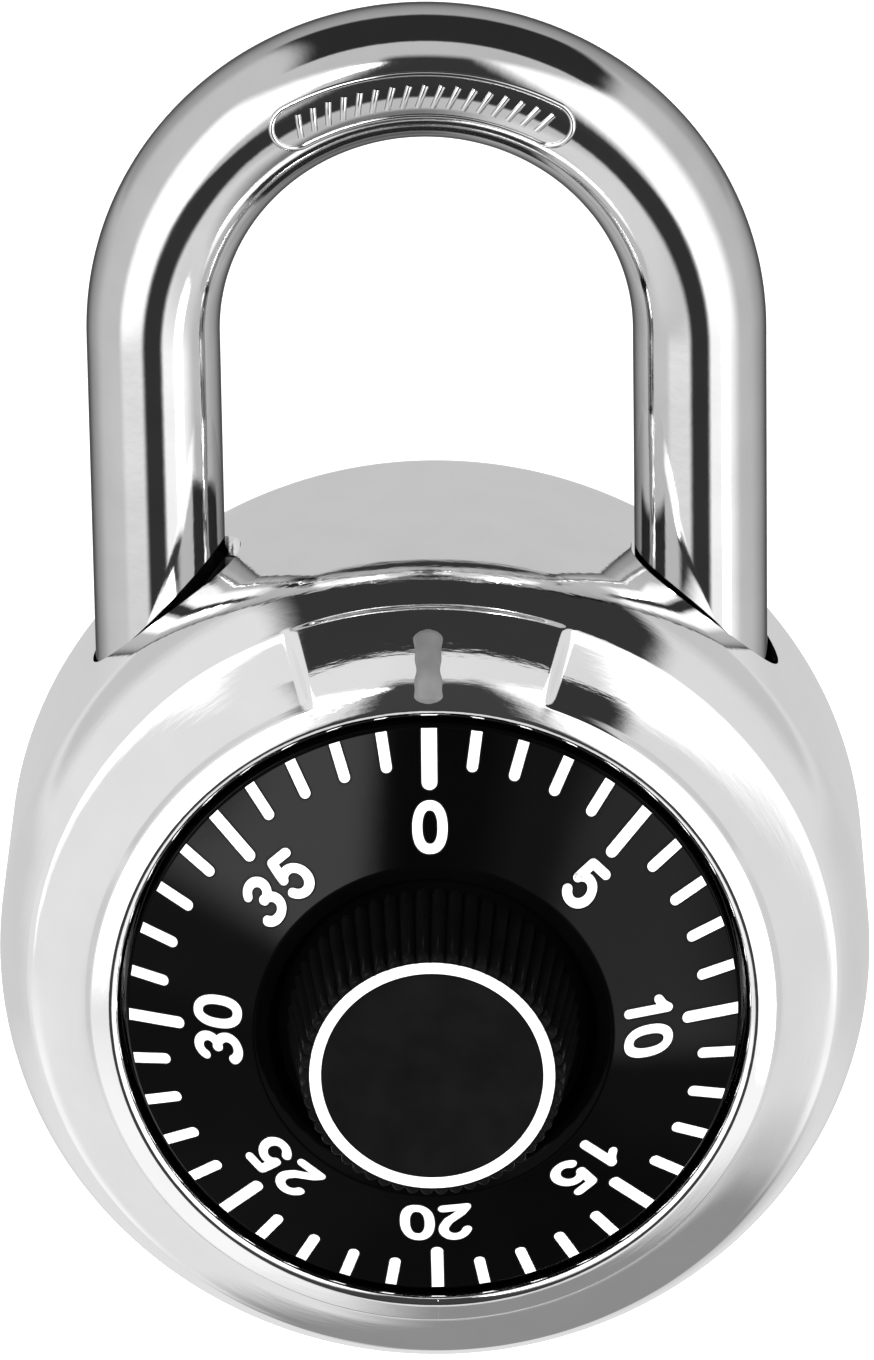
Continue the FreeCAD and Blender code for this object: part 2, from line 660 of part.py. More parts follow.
def knob_shape():
    grip = Part.makeLoft([
        fluted_wire(SIZE["knob_base_radius"], SIZE["moat_front"]),
        fluted_wire(SIZE["knob_top_radius"], SIZE["knob_front"]),
    ], True, True)
    bore_depth = SIZE["moat_front"] - SIZE["spindle_front"]
    bore = Part.makeCylinder(SIZE["spindle_radius"], bore_depth,
                             Vector(0, SIZE["spindle_front"], 0), Vector(0, 1, 0))
    groove = tube_shape(SIZE["inlay_inner"], SIZE["inlay_outer"],
                        SIZE["knob_front"], SIZE["knob_front"] + SIZE["inlay_depth"])
    return grip.cut(bore).cut(groove)


knob = shape_part("knob", lowered(knob_shape()))
knob_ring = ring("knob_ring", "inlay_inner", "inlay_outer",
                 "knob_front", "knob_front + inlay_depth")

dial_spindle = turned("dial_spindle", [
    ("0", "spindle_front"),
    ("spindle_radius", "spindle_front"),
    ("spindle_radius", "cam_rear - wheel_thick"),
    ("spindle_tail_radius", "cam_rear - wheel_thick"),
    ("spindle_tail_radius", "spindle_rear"),
    ("0", "spindle_rear"),
])
cam_retainer = ring("cam_retainer", "spindle_tail_radius", "retainer_radius",
                    "cam_rear", "cam_rear + retainer_thick")


def on_orbit(angle_name):
    """Place of a fly pin as numbers, from its angle round the dial axis."""
    angle = math.radians(SIZE[angle_name])
    orbit = SIZE["fly_orbit"]
    return repr(round(orbit * math.cos(angle), 4)), repr(round(orbit * math.sin(angle), 4))


def wheel(label, rear, bore, fly_angle, gates):
    """Disc with rim gates; the first gate lies at the fence, on the -X side."""
    body = new_body(label)
    disc = new_sketch(body, "XZ_Plane", rear)
    draw_circle(disc, "0", "0", "wheel_radius")
    draw_circle(disc, "0", "0", bore)
    across, upward = on_orbit(fly_angle)
    draw_circle(disc, across, upward, "fly_radius")
    add_pad(body, disc, "wheel_thick")
    gate = new_sketch(body, "XZ_Plane", rear)
    draw_outline(gate, [
        ("- wheel_radius - cut_over", "- 0.5*gate_width"),
        ("gate_depth - wheel_radius", "- 0.5*gate_width"),
        ("gate_depth - wheel_radius", "0.5*gate_width"),
        ("- wheel_radius - cut_over", "0.5*gate_width"),
    ])
    pocket = cut_through(body, gate, "wheel_thick", reverse=True)
    if gates > 1:
        before = body.Shape.Volume
        pattern = body.newObject("PartDesign::PolarPattern", label + "_gates")
        pattern.Originals = [pocket]
        pattern.Axis = (gate, ["N_Axis"])
        pattern.Angle = 360
        pattern.Occurrences = gates
        body.Tip = pattern
        must_change(body, before, pattern)
    return body


def fly_pin(label, angle_name, front, rear):
    across, upward = on_orbit(angle_name)
    return pin(label, across, upward, "fly_radius", front, rear)


WHEEL_BORE = "post_radius + running_gap"
drive_cam = wheel("drive_cam", "cam_rear", "spindle_tail_radius", "cam_fly_angle",
                  int(SIZE["cam_gates"]))
wheel_2 = wheel("wheel_2", "wheel_2_rear", WHEEL_BORE, "fly_2_angle", 1)
wheel_1 = wheel("wheel_1", "wheel_1_rear", WHEEL_BORE, "fly_1_angle", 1)
cam_fly = fly_pin("cam_fly_pin", "cam_fly_angle", "cam_rear - wheel_thick", "cam_rear + fly_reach")
wheel_2_fly = fly_pin("wheel_2_fly_pin", "fly_2_angle",
                      "wheel_2_rear - wheel_thick - fly_reach", "wheel_2_rear + fly_reach")
wheel_1_fly = fly_pin("wheel_1_fly_pin", "fly_1_angle",
                      "wheel_1_rear - wheel_thick - fly_reach", "wheel_1_rear")

# ---- fence lever and latch ---------------------------------------------------

lever = plate("lever", [
    ("lever_x - lever_boss_half", "lever_z - lever_boss_side"),
    ("lever_x", "lever_z - lever_boss_low"),
    ("lever_x + lever_boss_half", "lever_z - lever_boss_side"),
    ("lever_x + lever_neck_right", "lever_z + lever_neck_rise"),
    ("lever_x + lever_arm_right", "lever_arm_low"),
    ("lever_x + lever_arm_right", "- fence_half"),
    ("fence_tip", "- fence_half"),
    ("fence_tip", "fence_half"),
    ("lever_x + lever_arm_right", "fence_half"),
    ("lever_x + lever_arm_right", "lever_arm_high"),
    ("latch_x + lever_elbow_offset", "lever_elbow_right"),
    ("latch_right", "latch_foot + lever_head_foot"),
    ("latch_right", "latch_z + lever_head_rise"),
    ("latch_left", "latch_z + lever_head_rise"),
    ("latch_left", "lever_elbow_left"),
    ("lever_x - lever_arm_left", "lever_arm_bend"),
    ("lever_x - lever_neck_left", "lever_z + lever_neck_left_rise"),
], LEVER_REAR, "lever_thick")
lever_holes = new_sketch(lever, "XZ_Plane", LEVER_REAR)
draw_circle(lever_holes, "lever_x", "lever_z", "stud_radius + running_gap")
draw_circle(lever_holes, "latch_x", "latch_z", "pin_radius")
cut_through(lever, lever_holes, "lever_thick", reverse=True)

fence = plate("fence", [
    ("fence_root", "- fence_half"),
    ("fence_tip", "- fence_half"),
    ("fence_tip", "fence_half"),
    ("fence_root", "fence_half"),
], LEVER_FRONT, "- fence_front - 0.5*lever_thick")

latch = plate("latch", [
    ("latch_left", "latch_foot"),
    ("latch_right", "latch_foot"),
    ("latch_right", "tongue_high"),
    ("tongue_tip", "tongue_high"),
    ("tongue_tip", "tongue_low"),
    ("latch_left", "tongue_low"),
], "latch_rear", "latch_thick")
latch_hole = new_sketch(latch, "XZ_Plane", "latch_rear")
draw_circle(latch_hole, "latch_x", "latch_z", "pin_radius + running_gap")
cut_through(latch, latch_hole, "latch_thick", reverse=True)
latch_pin = pin("latch_pin", "latch_x", "latch_z", "pin_radius", "pin_front", "pin_rear")


def coil_leg(centre, coil, target, clear, way):
    """Angle where a straight leg leaves the coil, and its length to the target.

    The leg passes the target at the distance clear. way is 1 for a leg that leaves
    anticlockwise seen from the front, -1 for one that leaves clockwise.
    """
    across, upward = target[0] - centre[0], target[1] - centre[1]
    distance = math.hypot(across, upward)
    towards = math.degrees(math.atan2(upward, across))
    inner = math.degrees(math.acos((coil + clear) / distance))
    return towards - way * inner, math.sqrt(distance ** 2 - (coil + clear) ** 2)


def wire_solid(points, radius, sides):
    """Bent wire of flat facets along the points, closed by a flat facet at each end."""
    rings = []
    side = Vector(0, 0, 1)
    for index, point in enumerate(points):
        before = point - points[max(index - 1, 0)]
        after = points[min(index + 1, len(points) - 1)] - point
        along = Vector(0, 0, 0)
        for step in (before, after):
            if step.Length > 0:
                along += step / step.Length
        along.normalize()
        side = side - along * side.dot(along)
        side.normalize()
        other = along.cross(side)
        turns = [2 * math.pi * corner / sides for corner in range(sides)]
        rings.append([point + (side * math.cos(turn) + other * math.sin(turn)) * radius
                      for turn in turns])
    faces = [rings[0][::-1], rings[-1]]
    for here, there in zip(rings, rings[1:]):
        for corner in range(sides):
            following = (corner + 1) % sides
            faces.append([here[corner], here[following], there[following]])
            faces.append([here[corner], there[following], there[corner]])
    shell = Part.Shell([Part.Face(Part.makePolygon(face + face[:1])) for face in faces])
    return Part.Solid(shell)


def torsion_spring(label, centre, coil, wire, turns, front, front_leg, rear_leg):
    """Close coil round a pin, with a straight leg at each end.

    A leg is (target, distance it passes the target at, extra length, rear end of its
    bent tip or None for no tip).
    """
    pitch = wire * SIZE["coil_pitch"]
    start, front_length = coil_leg(centre, coil, front_leg[0], front_leg[1], 1)
    end, rear_length = coil_leg(centre, coil, rear_leg[0], rear_leg[1], -1)
    turns = turns + ((start - end) % 360) / 360
    steps = math.ceil(turns * SIZE["coil_steps"])
    seat = Vector(centre[0], front + wire / 2, centre[1])
    course = []
    for index in range(steps + 1):
        share = index / steps
        angle = math.radians(start - 360 * turns * share)
        course.append(seat + Vector(coil * math.cos(angle), pitch * turns * share,
                                    coil * math.sin(angle)))
    ends = []
    for angle, way, length, leg, root in (
            (start, 1, front_length, front_leg, course[0]),
            (end, -1, rear_length, rear_leg, course[-1])):
        along = Vector(-way * math.sin(math.radians(angle)), 0,
                       way * math.cos(math.radians(angle)))
        tip = root + along * (length + leg[2])
        if leg[3] is None:
            ends.append([tip])
        else:
            rearward = Vector(0, 1, 0)
            ends.append([tip - along * wire, tip - (along - rearward) * (SIZE["tip_corner"] * wire),
                         tip + rearward * wire, Vector(tip.x, leg[3], tip.z)])
    points = ends[0][::-1] + course + ends[1]
    return shape_part(label, lowered(wire_solid(points, wire / 2, int(SIZE["wire_sides"]))))


POST_CLEAR = value("spring_post_radius + 0.5*lever_wire + touch_gap")
LATCH_TIP_X = value("latch_right + 0.5*latch_wire + touch_gap")
lever_spring = torsion_spring(
    "lever_spring", (SIZE["lever_x"], SIZE["lever_z"]), SIZE["lever_coil_radius"],
    SIZE["lever_wire"], SIZE["lever_turns"], SIZE["lever_spring_front"],
    ((SIZE["spring_post_x"], SIZE["spring_post_z"]), POST_CLEAR, SIZE["leg_over"], None),
    ((SIZE["lever_tip_x"], SIZE["lever_tip_z"]), 0.0, 0.0, value("0.5*lever_thick")))
latch_spring = torsion_spring(
    "latch_spring", (SIZE["latch_x"], SIZE["latch_z"]), SIZE["latch_coil_radius"],
    SIZE["latch_wire"], SIZE["latch_turns"], SIZE["latch_spring_front"],
    ((SIZE["react_tip_x"], SIZE["react_tip_z"]), 0.0, 0.0, value("0.5*lever_thick")),
    ((LATCH_TIP_X, SIZE["latch_tip_z"]), 0.0, 0.0, SIZE["latch_rear"]))

# ---- shackle -----------------------------------------------------------------

BOW_CENTRE = "hang_height - leg_offset + bar_radius"
shackle = new_body("shackle")
bar_sketch = new_sketch(shackle, "XY_Plane", "heel_end")
draw_circle(bar_sketch, "leg_offset", "0", "bar_radius")
path = new_sketch(shackle, "XZ_Plane")
draw_path = [
    ("leg_offset", "heel_end"),
    ("leg_offset", BOW_CENTRE),
    ("- leg_offset", BOW_CENTRE),
    ("- leg_offset", "toe_end"),
]
corners = [Vector(value(across), value(upward), 0) for across, upward in draw_path]
heel_line = path.addGeometry(Part.LineSegment(corners[0], corners[1]), False)
bow = path.addGeometry(arc_between(corners[1], corners[2], SIZE["leg_offset"]), False)
toe_line = path.addGeometry(Part.LineSegment(corners[2], corners[3]), False)
path.addConstraint(Sketcher.Constraint("Tangent", heel_line, 2, bow, 1))
path.addConstraint(Sketcher.Constraint("Tangent", bow, 2, toe_line, 1))
place_point(path, heel_line, 1, *draw_path[0])
place_point(path, heel_line, 2, *draw_path[1])
place_point(path, toe_line, 2, *draw_path[3])
swept_bar = shackle.newObject("PartDesign::AdditivePipe", "swept_bar")
swept_bar.Profile = bar_sketch
swept_bar.Spine = (path, ["Edge1", "Edge2", "Edge3"])
doc.recompute()
toe_rims = ["Edge%d" % number for number, edge in enumerate(swept_bar.Shape.Edges, start=1)
            if edge.BoundBox.ZLength < SIZE["touch_gap"]
            and abs(edge.CenterOfMass.z - SIZE["toe_end"]) < SIZE["touch_gap"]
            and edge.CenterOfMass.x < 0]
toe_end_chamfer = shackle.newObject("PartDesign::Chamfer", "toe_end_chamfer")
toe_end_chamfer.Base = (swept_bar, toe_rims)
toe_end_chamfer.setExpression("Size", formula("toe_chamfer"))

notch = new_sketch(shackle, "XZ_Plane")
LEG_INSIDE = "bar_radius - leg_offset"
draw_outline(notch, [
    (LEG_INSIDE + " - notch_floor", "notch_bottom"),
    (LEG_INSIDE, "ramp_foot"),
    (LEG_INSIDE + " + cut_over", "ramp_foot"),
    (LEG_INSIDE + " + cut_over", "notch_top"),
    (LEG_INSIDE + " - notch_floor", "notch_top"),
])
cut_through(shackle, notch, "3*bar_radius", middle=True)
ring_groove = new_sketch(shackle, "XY_Plane", "ring_groove_low")
draw_circle(ring_groove, "leg_offset", "0", "bar_radius + cut_over")
draw_circle(ring_groove, "leg_offset", "0", "ring_groove_radius")
cut_through(shackle, ring_groove, "ring_groove_width", reverse=True)

heel_ring = new_body("heel_retaining_ring")
heel_ring_sketch = new_sketch(heel_ring, "XY_Plane", "ring_groove_low + heel_ring_gap")
draw_circle(heel_ring_sketch, "leg_offset", "0", "heel_ring_radius")
draw_circle(heel_ring_sketch, "leg_offset", "0", "ring_groove_radius + touch_gap")
add_pad(heel_ring, heel_ring_sketch, "heel_ring_thick")
ring_gap = new_sketch(heel_ring, "XY_Plane", "ring_groove_low + heel_ring_gap")
draw_outline(ring_gap, [
    ("leg_offset - ring_gap_half", "- heel_ring_radius - cut_over"),
    ("leg_offset + ring_gap_half", "- heel_ring_radius - cut_over"),
    ("leg_offset + ring_gap_half", "- cut_over"),
    ("leg_offset - ring_gap_half", "- cut_over"),
])
cut_through(heel_ring, ring_gap, "heel_ring_thick", reverse=True)

# ---- check and write ---------------------------------------------------------

SUB_PARTS = [
    front_case, index_mark, inner_case, rear_cover, mechanism_plate, centre_post,
    rear_spacer, wheel_spacer, wheel_clip, lever_stud, spring_post, lever_spring,
    heel_guide, dial_bushing, spring_washer, thrust_washer, dial, dial_graduations,
    knob, knob_ring, dial_spindle, drive_cam, cam_fly, cam_retainer, wheel_2,
    wheel_2_fly, wheel_1, wheel_1_fly, lever, fence, latch, latch_pin, latch_spring,
    shackle, heel_ring,
]

doc.recompute()
for item in doc.Objects:
    if "Invalid" in item.State or "Error" in item.State:
        raise RuntimeError("%s did not compute: %s" % (item.Label, item.State))
for item in SUB_PARTS:
    if item.Shape.isNull() or not item.Shape.isValid():
        raise RuntimeError(item.Label + " has no valid shape")

os.makedirs("parts", exist_ok=True)
for item in SUB_PARTS:
    item.Shape.exportStep("parts/" + item.Label + ".step")
    print("%-22s %d solids %9.2f mm3" % (item.Label, len(item.Shape.Solids), item.Shape.Volume))
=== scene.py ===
import json
import math

import bmesh
import bpy
import numpy as np
from mathutils import Matrix, Vector


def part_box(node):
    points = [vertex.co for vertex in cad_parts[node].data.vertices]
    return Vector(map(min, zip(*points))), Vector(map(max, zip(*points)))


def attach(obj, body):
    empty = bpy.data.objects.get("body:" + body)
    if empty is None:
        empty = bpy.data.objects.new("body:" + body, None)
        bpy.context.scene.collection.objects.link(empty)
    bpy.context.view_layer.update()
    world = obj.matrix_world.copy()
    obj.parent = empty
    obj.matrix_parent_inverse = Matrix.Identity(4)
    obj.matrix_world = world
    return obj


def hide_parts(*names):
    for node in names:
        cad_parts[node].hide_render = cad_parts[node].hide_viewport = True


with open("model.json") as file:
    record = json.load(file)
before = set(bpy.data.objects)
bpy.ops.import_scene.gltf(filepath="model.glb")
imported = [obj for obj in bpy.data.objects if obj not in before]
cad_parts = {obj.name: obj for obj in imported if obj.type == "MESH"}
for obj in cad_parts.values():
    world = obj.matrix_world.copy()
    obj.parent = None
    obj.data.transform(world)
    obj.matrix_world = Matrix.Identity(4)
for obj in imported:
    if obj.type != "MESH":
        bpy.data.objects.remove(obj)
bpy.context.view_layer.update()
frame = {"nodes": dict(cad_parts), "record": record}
MM = 0.001
case_low, case_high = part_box("front_case")
CENTRE_X = (case_low[0] + case_high[0]) / 2
AXIS_Z = (case_low[2] + case_high[2]) / 2
CASE_R = (case_high[0] - case_low[0]) / 2 / MM

# ---- camera ------------------------------------------------------------------

ELEVATION, AZIMUTH, ROLL = math.radians(21.54), math.radians(0.76), math.radians(-0.91)
AIM_RIGHT, AIM_ABOVE_AXIS = 0.28 * MM, 13.5 * MM
DISTANCE, LENS, SENSOR = 0.5407, 258.8, 36
back = Vector((math.sin(AZIMUTH) * math.cos(ELEVATION),
               -math.cos(AZIMUTH) * math.cos(ELEVATION), math.sin(ELEVATION)))
right = Vector((math.cos(AZIMUTH), math.sin(AZIMUTH), 0))
above = back.cross(right)
right, above = (math.cos(ROLL) * right + math.sin(ROLL) * above,
                math.cos(ROLL) * above - math.sin(ROLL) * right)
target = Vector((CENTRE_X + AIM_RIGHT, 0, AXIS_Z + AIM_ABOVE_AXIS))
camera = bpy.data.objects.new("camera", bpy.data.cameras.new("camera"))
camera.data.lens = LENS
camera.data.sensor_width = SENSOR
camera.data.clip_start, camera.data.clip_end = 0.01, 10
facing = Matrix((right, above, back)).transposed().to_4x4()
camera.matrix_world = Matrix.Translation(target + back * DISTANCE) @ facing
bpy.context.collection.objects.link(camera)
bpy.context.scene.camera = camera

# ---- node helpers ------------------------------------------------------------


class Value:
    """A socket that arithmetic can be done on."""

    def __init__(self, tree, socket):
        self.tree, self.socket = tree, socket

    def math(self, operation, *others):
        node = self.tree.nodes.new("ShaderNodeMath")
        node.operation = operation
        for index, term in enumerate((self,) + others):
            if isinstance(term, Value):
                self.tree.links.new(term.socket, node.inputs[index])
            else:
                node.inputs[index].default_value = term
        return Value(self.tree, node.outputs[0])

    def __add__(self, other):
        return self.math("ADD", other)

    def __sub__(self, other):
        return self.math("SUBTRACT", other)

    def __mul__(self, other):
        return self.math("MULTIPLY", other)

    def step(self, start, end, low=0.0, high=1.0):
        """Smooth change from low at start to high at end."""
        node = self.tree.nodes.new("ShaderNodeMapRange")
        node.interpolation_type = "SMOOTHSTEP"
        self.tree.links.new(self.socket, node.inputs["Value"])
        for name, number in (("From Min", start), ("From Max", end),
                             ("To Min", low), ("To Max", high)):
            node.inputs[name].default_value = number
        return Value(self.tree, node.outputs["Result"])

    def window(self, a, b, c, d):
        """1 between b and c, falling smoothly to 0 at a and d."""
        return self.step(a, b) * self.step(c, d, 1.0, 0.0)

    def towards(self, level, share):
        """This value moved towards level by share."""
        return self + (self * -1.0 + level) * share


# ---- studio ------------------------------------------------------------------

# brightness of the tent's parts
WALL_LEFT, WALL_RIGHT, WALL_REAR, WALL_REAR_LOW = 0.80, 0.74, 0.58, 0.64
SIDE_BOX, LOW_BOX, LEFT_TUBE, RIGHT_TUBE = 1.7, 1.0, 20.0, 8.0
SLOT, LOW_SLOT, TOP_GAP = 0.05, 0.045, 0.035
TABLE_RIGHT, TABLE = 0.50, 0.28


def light_tent():
    """Soft white tent with a dark slot in front and a dark gap over the top.

    x, front and z are the parts of a direction seen from the lock, from -1 to 1.
    azimuth and elevation are its angles in degrees, from the front.
    """
    world = bpy.data.worlds.new("studio")
    bpy.context.scene.world = world
    world.use_nodes = True
    tree = world.node_tree
    tree.nodes.clear()
    place = tree.nodes.new("ShaderNodeTexCoord")
    split = tree.nodes.new("ShaderNodeSeparateXYZ")
    tree.links.new(place.outputs["Generated"], split.inputs[0])
    x, y, z = (Value(tree, split.outputs[axis]) for axis in "XYZ")
    front = y * -1.0
    azimuth = x.math("ARCTAN2", front) * (180 / math.pi)
    elevation = z.math("ARCSINE") * (180 / math.pi)

    # walls: a little lighter on the left, darker behind
    level = x.step(-0.9, 0.9, WALL_LEFT, WALL_RIGHT)
    level = level.towards(WALL_REAR, front.step(-0.30, -0.60) * z.step(0.0, 0.12))
    level = level.towards(WALL_REAR_LOW, front.step(-0.10, -0.50) * z.step(0.06, -0.12)
                          * z.step(-0.62, -0.42))
    # soft boxes on either side of the camera, and two low ones
    level = level.towards(SIDE_BOX, azimuth.window(-62, -50, -18, -13)
                          * elevation.window(-24, -14, 30, 40))
    level = level.towards(SIDE_BOX, azimuth.window(13, 20, 52, 76)
                          * elevation.window(-40, -10, 36, 46))
    level = level.towards(LOW_BOX, azimuth.math("ABSOLUTE").window(10, 20, 60, 90)
                          * elevation.window(-64, -54, -36, -16))
    # lamp tubes in the boxes
    level = level.towards(LEFT_TUBE, (azimuth - elevation * 0.85).window(-50, -45, -37, -30)
                          * elevation.window(-4, 6, 26, 36))
    level = level.towards(RIGHT_TUBE, (azimuth + elevation * 0.3).window(30, 36, 42, 48)
                          * elevation.window(-34, -26, 14, 24))
    # dark slot round the camera, and another below it
    level = level.towards(SLOT, azimuth.window(-12, -7, 9, 15)
                          * elevation.window(-16, -10, 36, 46))
    level = level.towards(LOW_SLOT, azimuth.window(-22, -11, 11, 20)
                          * elevation.window(-33, -28, -12, -8))
    # dark gap over the tent
    level = level.towards(TOP_GAP, front.window(-0.62, -0.54, 0.37, 0.42)
                          * x.window(-0.56, -0.42, 0.66, 0.78)
                          * elevation.step(38, 46))
    # table top, which starts higher up on the right
    level = level.towards(TABLE_RIGHT, x.step(0.0, 0.4) * z.step(-0.62, -0.80))
    level = level.towards(TABLE, x.step(-0.20, 0.0) * z.step(-0.76, -0.84))
    level = level.towards(TABLE, z.step(-0.90, -0.97))

    glow = tree.nodes.new("ShaderNodeBackground")
    glow.inputs["Color"].default_value = (1, 1, 1, 1)
    tree.links.new(level.socket, glow.inputs["Strength"])
    # the camera itself sees plain white instead
    plain = tree.nodes.new("ShaderNodeBackground")
    plain.inputs["Color"].default_value = (1, 1, 1, 1)
    plain.inputs["Strength"].default_value = 1.0
    ray = tree.nodes.new("ShaderNodeLightPath")
    choose = tree.nodes.new("ShaderNodeMixShader")
    tree.links.new(ray.outputs["Is Camera Ray"], choose.inputs[0])
    tree.links.new(glow.outputs[0], choose.inputs[1])
    tree.links.new(plain.outputs[0], choose.inputs[2])
    out = tree.nodes.new("ShaderNodeOutputWorld")
    tree.links.new(choose.outputs[0], out.inputs["Surface"])


def soft_panel(name, place, aim, width, height, power):
    """Area light that shows neither in the picture nor in reflections."""
    light = bpy.data.lights.new(name, "AREA")
    light.shape = "RECTANGLE"
    light.size, light.size_y = width, height
    light.energy = power
    panel = bpy.data.objects.new(name, light)
    panel.location = place
    panel.rotation_euler = (Vector(aim) - Vector(place)).to_track_quat("-Z", "Y").to_euler()
    panel.visible_glossy = False
    panel.visible_camera = False
    bpy.context.collection.objects.link(panel)


light_tent()
middle = Vector((CENTRE_X, 0, AXIS_Z))
PANEL_WIDTH, PANEL_HEIGHT = 0.4, 0.5
soft_panel("left_panel", middle + Vector((-0.35, -0.5, 0.25)), middle,
           PANEL_WIDTH, PANEL_HEIGHT, 0.8)
soft_panel("right_panel", middle + Vector((0.4, -0.45, 0.15)), middle,
           PANEL_WIDTH, PANEL_HEIGHT, 0.5)

# ---- materials ---------------------------------------------------------------


GRAIN_TURN = 0.0035     # metres of noise to a radian, so the lines are long round the axis


def turned_grain(tree, place):
    """Coordinates in which noise runs round the dial axis as polishing lines."""
    split = tree.nodes.new("ShaderNodeSeparateXYZ")
    tree.links.new(place.outputs["Object"], split.inputs[0])
    x, y, z = (Value(tree, split.outputs[axis]) for axis in "XYZ")
    up = z - AXIS_Z
    radius = (x * x + up * up).math("SQRT")
    turn = x.math("ARCTAN2", up)
    joined = tree.nodes.new("ShaderNodeCombineXYZ")
    for socket, part in zip(joined.inputs, (radius, turn * GRAIN_TURN, y)):
        tree.links.new(part.socket, socket)
    return joined.outputs[0]


def material(name, colour, metallic, roughness, spread, grain, bump=0.0, bump_scale=0.0,
             stretch=(1, 1, 1), tone=0.05, specular=0.5, edge=1.0, turned=False):
    """Principled surface whose colour, roughness and relief vary with fine noise.

    spread is how far the roughness varies and tone how far the colour does, by a
    noise of scale grain; bump is the relief's height in metres, by a noise of scale
    bump_scale; edge tints the grazing reflection; turned runs the relief in rings.
    """
    made = bpy.data.materials.new(name)
    made.use_nodes = True
    tree = made.node_tree
    shader = tree.nodes["Principled BSDF"]
    shader.inputs["Metallic"].default_value = metallic
    shader.inputs["Specular IOR Level"].default_value = specular
    shader.inputs["Specular Tint"].default_value = (edge, edge, edge, 1)
    place = tree.nodes.new("ShaderNodeTexCoord")
    scaled = tree.nodes.new("ShaderNodeMapping")
    scaled.inputs["Scale"].default_value = stretch
    tree.links.new(place.outputs["Object"], scaled.inputs["Vector"])
    cloud = tree.nodes.new("ShaderNodeTexNoise")
    cloud.inputs["Scale"].default_value = grain
    cloud.inputs["Detail"].default_value = 4
    tree.links.new(scaled.outputs[0], cloud.inputs["Vector"])
    rough = tree.nodes.new("ShaderNodeMapRange")
    rough.inputs["To Min"].default_value = max(0.0, roughness - spread)
    rough.inputs["To Max"].default_value = roughness + spread
    tree.links.new(cloud.outputs[0], rough.inputs["Value"])
    tree.links.new(rough.outputs[0], shader.inputs["Roughness"])
    ramp = tree.nodes.new("ShaderNodeValToRGB")
    ramp.color_ramp.elements[0].position, ramp.color_ramp.elements[1].position = 0.3, 0.7
    ramp.color_ramp.elements[0].color = [c * (1 - tone) for c in colour] + [1]
    ramp.color_ramp.elements[1].color = [min(1, c * (1 + tone)) for c in colour] + [1]
    tree.links.new(cloud.outputs[0], ramp.inputs[0])
    tree.links.new(ramp.outputs[0], shader.inputs["Base Color"])
    if bump:
        ripple = tree.nodes.new("ShaderNodeTexNoise")
        ripple.inputs["Scale"].default_value = bump_scale
        ripple.inputs["Detail"].default_value = 3
        tree.links.new(turned_grain(tree, place) if turned else scaled.outputs[0],
                       ripple.inputs["Vector"])
        relief = tree.nodes.new("ShaderNodeBump")
        relief.inputs["Strength"].default_value = 1.0
        relief.inputs["Distance"].default_value = bump
        tree.links.new(ripple.outputs[0], relief.inputs["Height"])
        tree.links.new(relief.outputs[0], shader.inputs["Normal"])
    return made


chrome = material("polished_steel", (0.93, 0.93, 0.93),
                  metallic=1.0, roughness=0.035, spread=0.02, grain=300,
                  bump=6.0e-6, bump_scale=4000, tone=0.02, turned=True)
shackle_chrome = material("shackle_chrome", (0.64, 0.64, 0.64),
                          metallic=1.0, roughness=0.06, spread=0.035, grain=260,
                          bump=2.5e-6, bump_scale=1500, tone=0.04, edge=0.15)
cover_steel = material("cover_steel", (0.84, 0.84, 0.84),
                       metallic=1.0, roughness=0.12, spread=0.05, grain=350,
                       bump=1.2e-6, bump_scale=1500, tone=0.04)
dial_black = material("dial_gloss_black", (0.0012, 0.0012, 0.0012),
                      metallic=0.0, roughness=0.08, spread=0.04, grain=220,
                      bump=2.0e-6, bump_scale=700, tone=0.2, specular=0.03)
knob_black = material("knob_gloss_black", (0.004, 0.004, 0.004),
                      metallic=0.0, roughness=0.16, spread=0.05, grain=300,
                      bump=2.0e-6, bump_scale=900, tone=0.2, specular=0.02)
knob_face_black = material("knob_face_black", (0.005, 0.005, 0.005),
                           metallic=0.0, roughness=0.35, spread=0.08, grain=500,
                           bump=2.0e-6, bump_scale=2500, tone=0.2, specular=0.01)
recess_black = material("recess_black", (0.002, 0.002, 0.002),
                        metallic=0.0, roughness=0.6, spread=0.1, grain=500,
                        tone=0.2, specular=0.05)
white_fill = material("white_fill", (0.95, 0.95, 0.95),
                      metallic=0.0, roughness=0.45, spread=0.1, grain=900,
                      bump=2.0e-6, bump_scale=2500, tone=0.03, specular=0.3)
mark_paint = material("mark_paint", (0.13, 0.13, 0.13),
                      metallic=0.0, roughness=0.5, spread=0.1, grain=700,
                      bump=1.5e-5, bump_scale=900, tone=0.15, specular=0.3)
sheet_steel = material("zinc_sheet", (0.50, 0.51, 0.53),
                       metallic=1.0, roughness=0.34, spread=0.1, grain=300,
                       bump=4e-6, bump_scale=900, tone=0.12)
blank_steel = material("blanked_steel", (0.42, 0.42, 0.44),
                       metallic=1.0, roughness=0.3, spread=0.1, grain=500,
                       bump=4e-6, bump_scale=700, stretch=(1, 1, 8), tone=0.15)
pin_steel = material("turned_steel", (0.55, 0.55, 0.57),
                     metallic=1.0, roughness=0.2, spread=0.06, grain=400,
                     bump=3e-6, bump_scale=900, stretch=(1, 12, 1), tone=0.1)
spring_steel = material("spring_steel", (0.30, 0.31, 0.34),
                        metallic=1.0, roughness=0.25, spread=0.08, grain=500,
                        bump=3e-6, bump_scale=1500, tone=0.15)
turned_brass = material("turned_brass", (0.80, 0.60, 0.26),
                        metallic=1.0, roughness=0.22, spread=0.07, grain=400,
                        bump=3e-6, bump_scale=900, stretch=(1, 12, 1), tone=0.12)
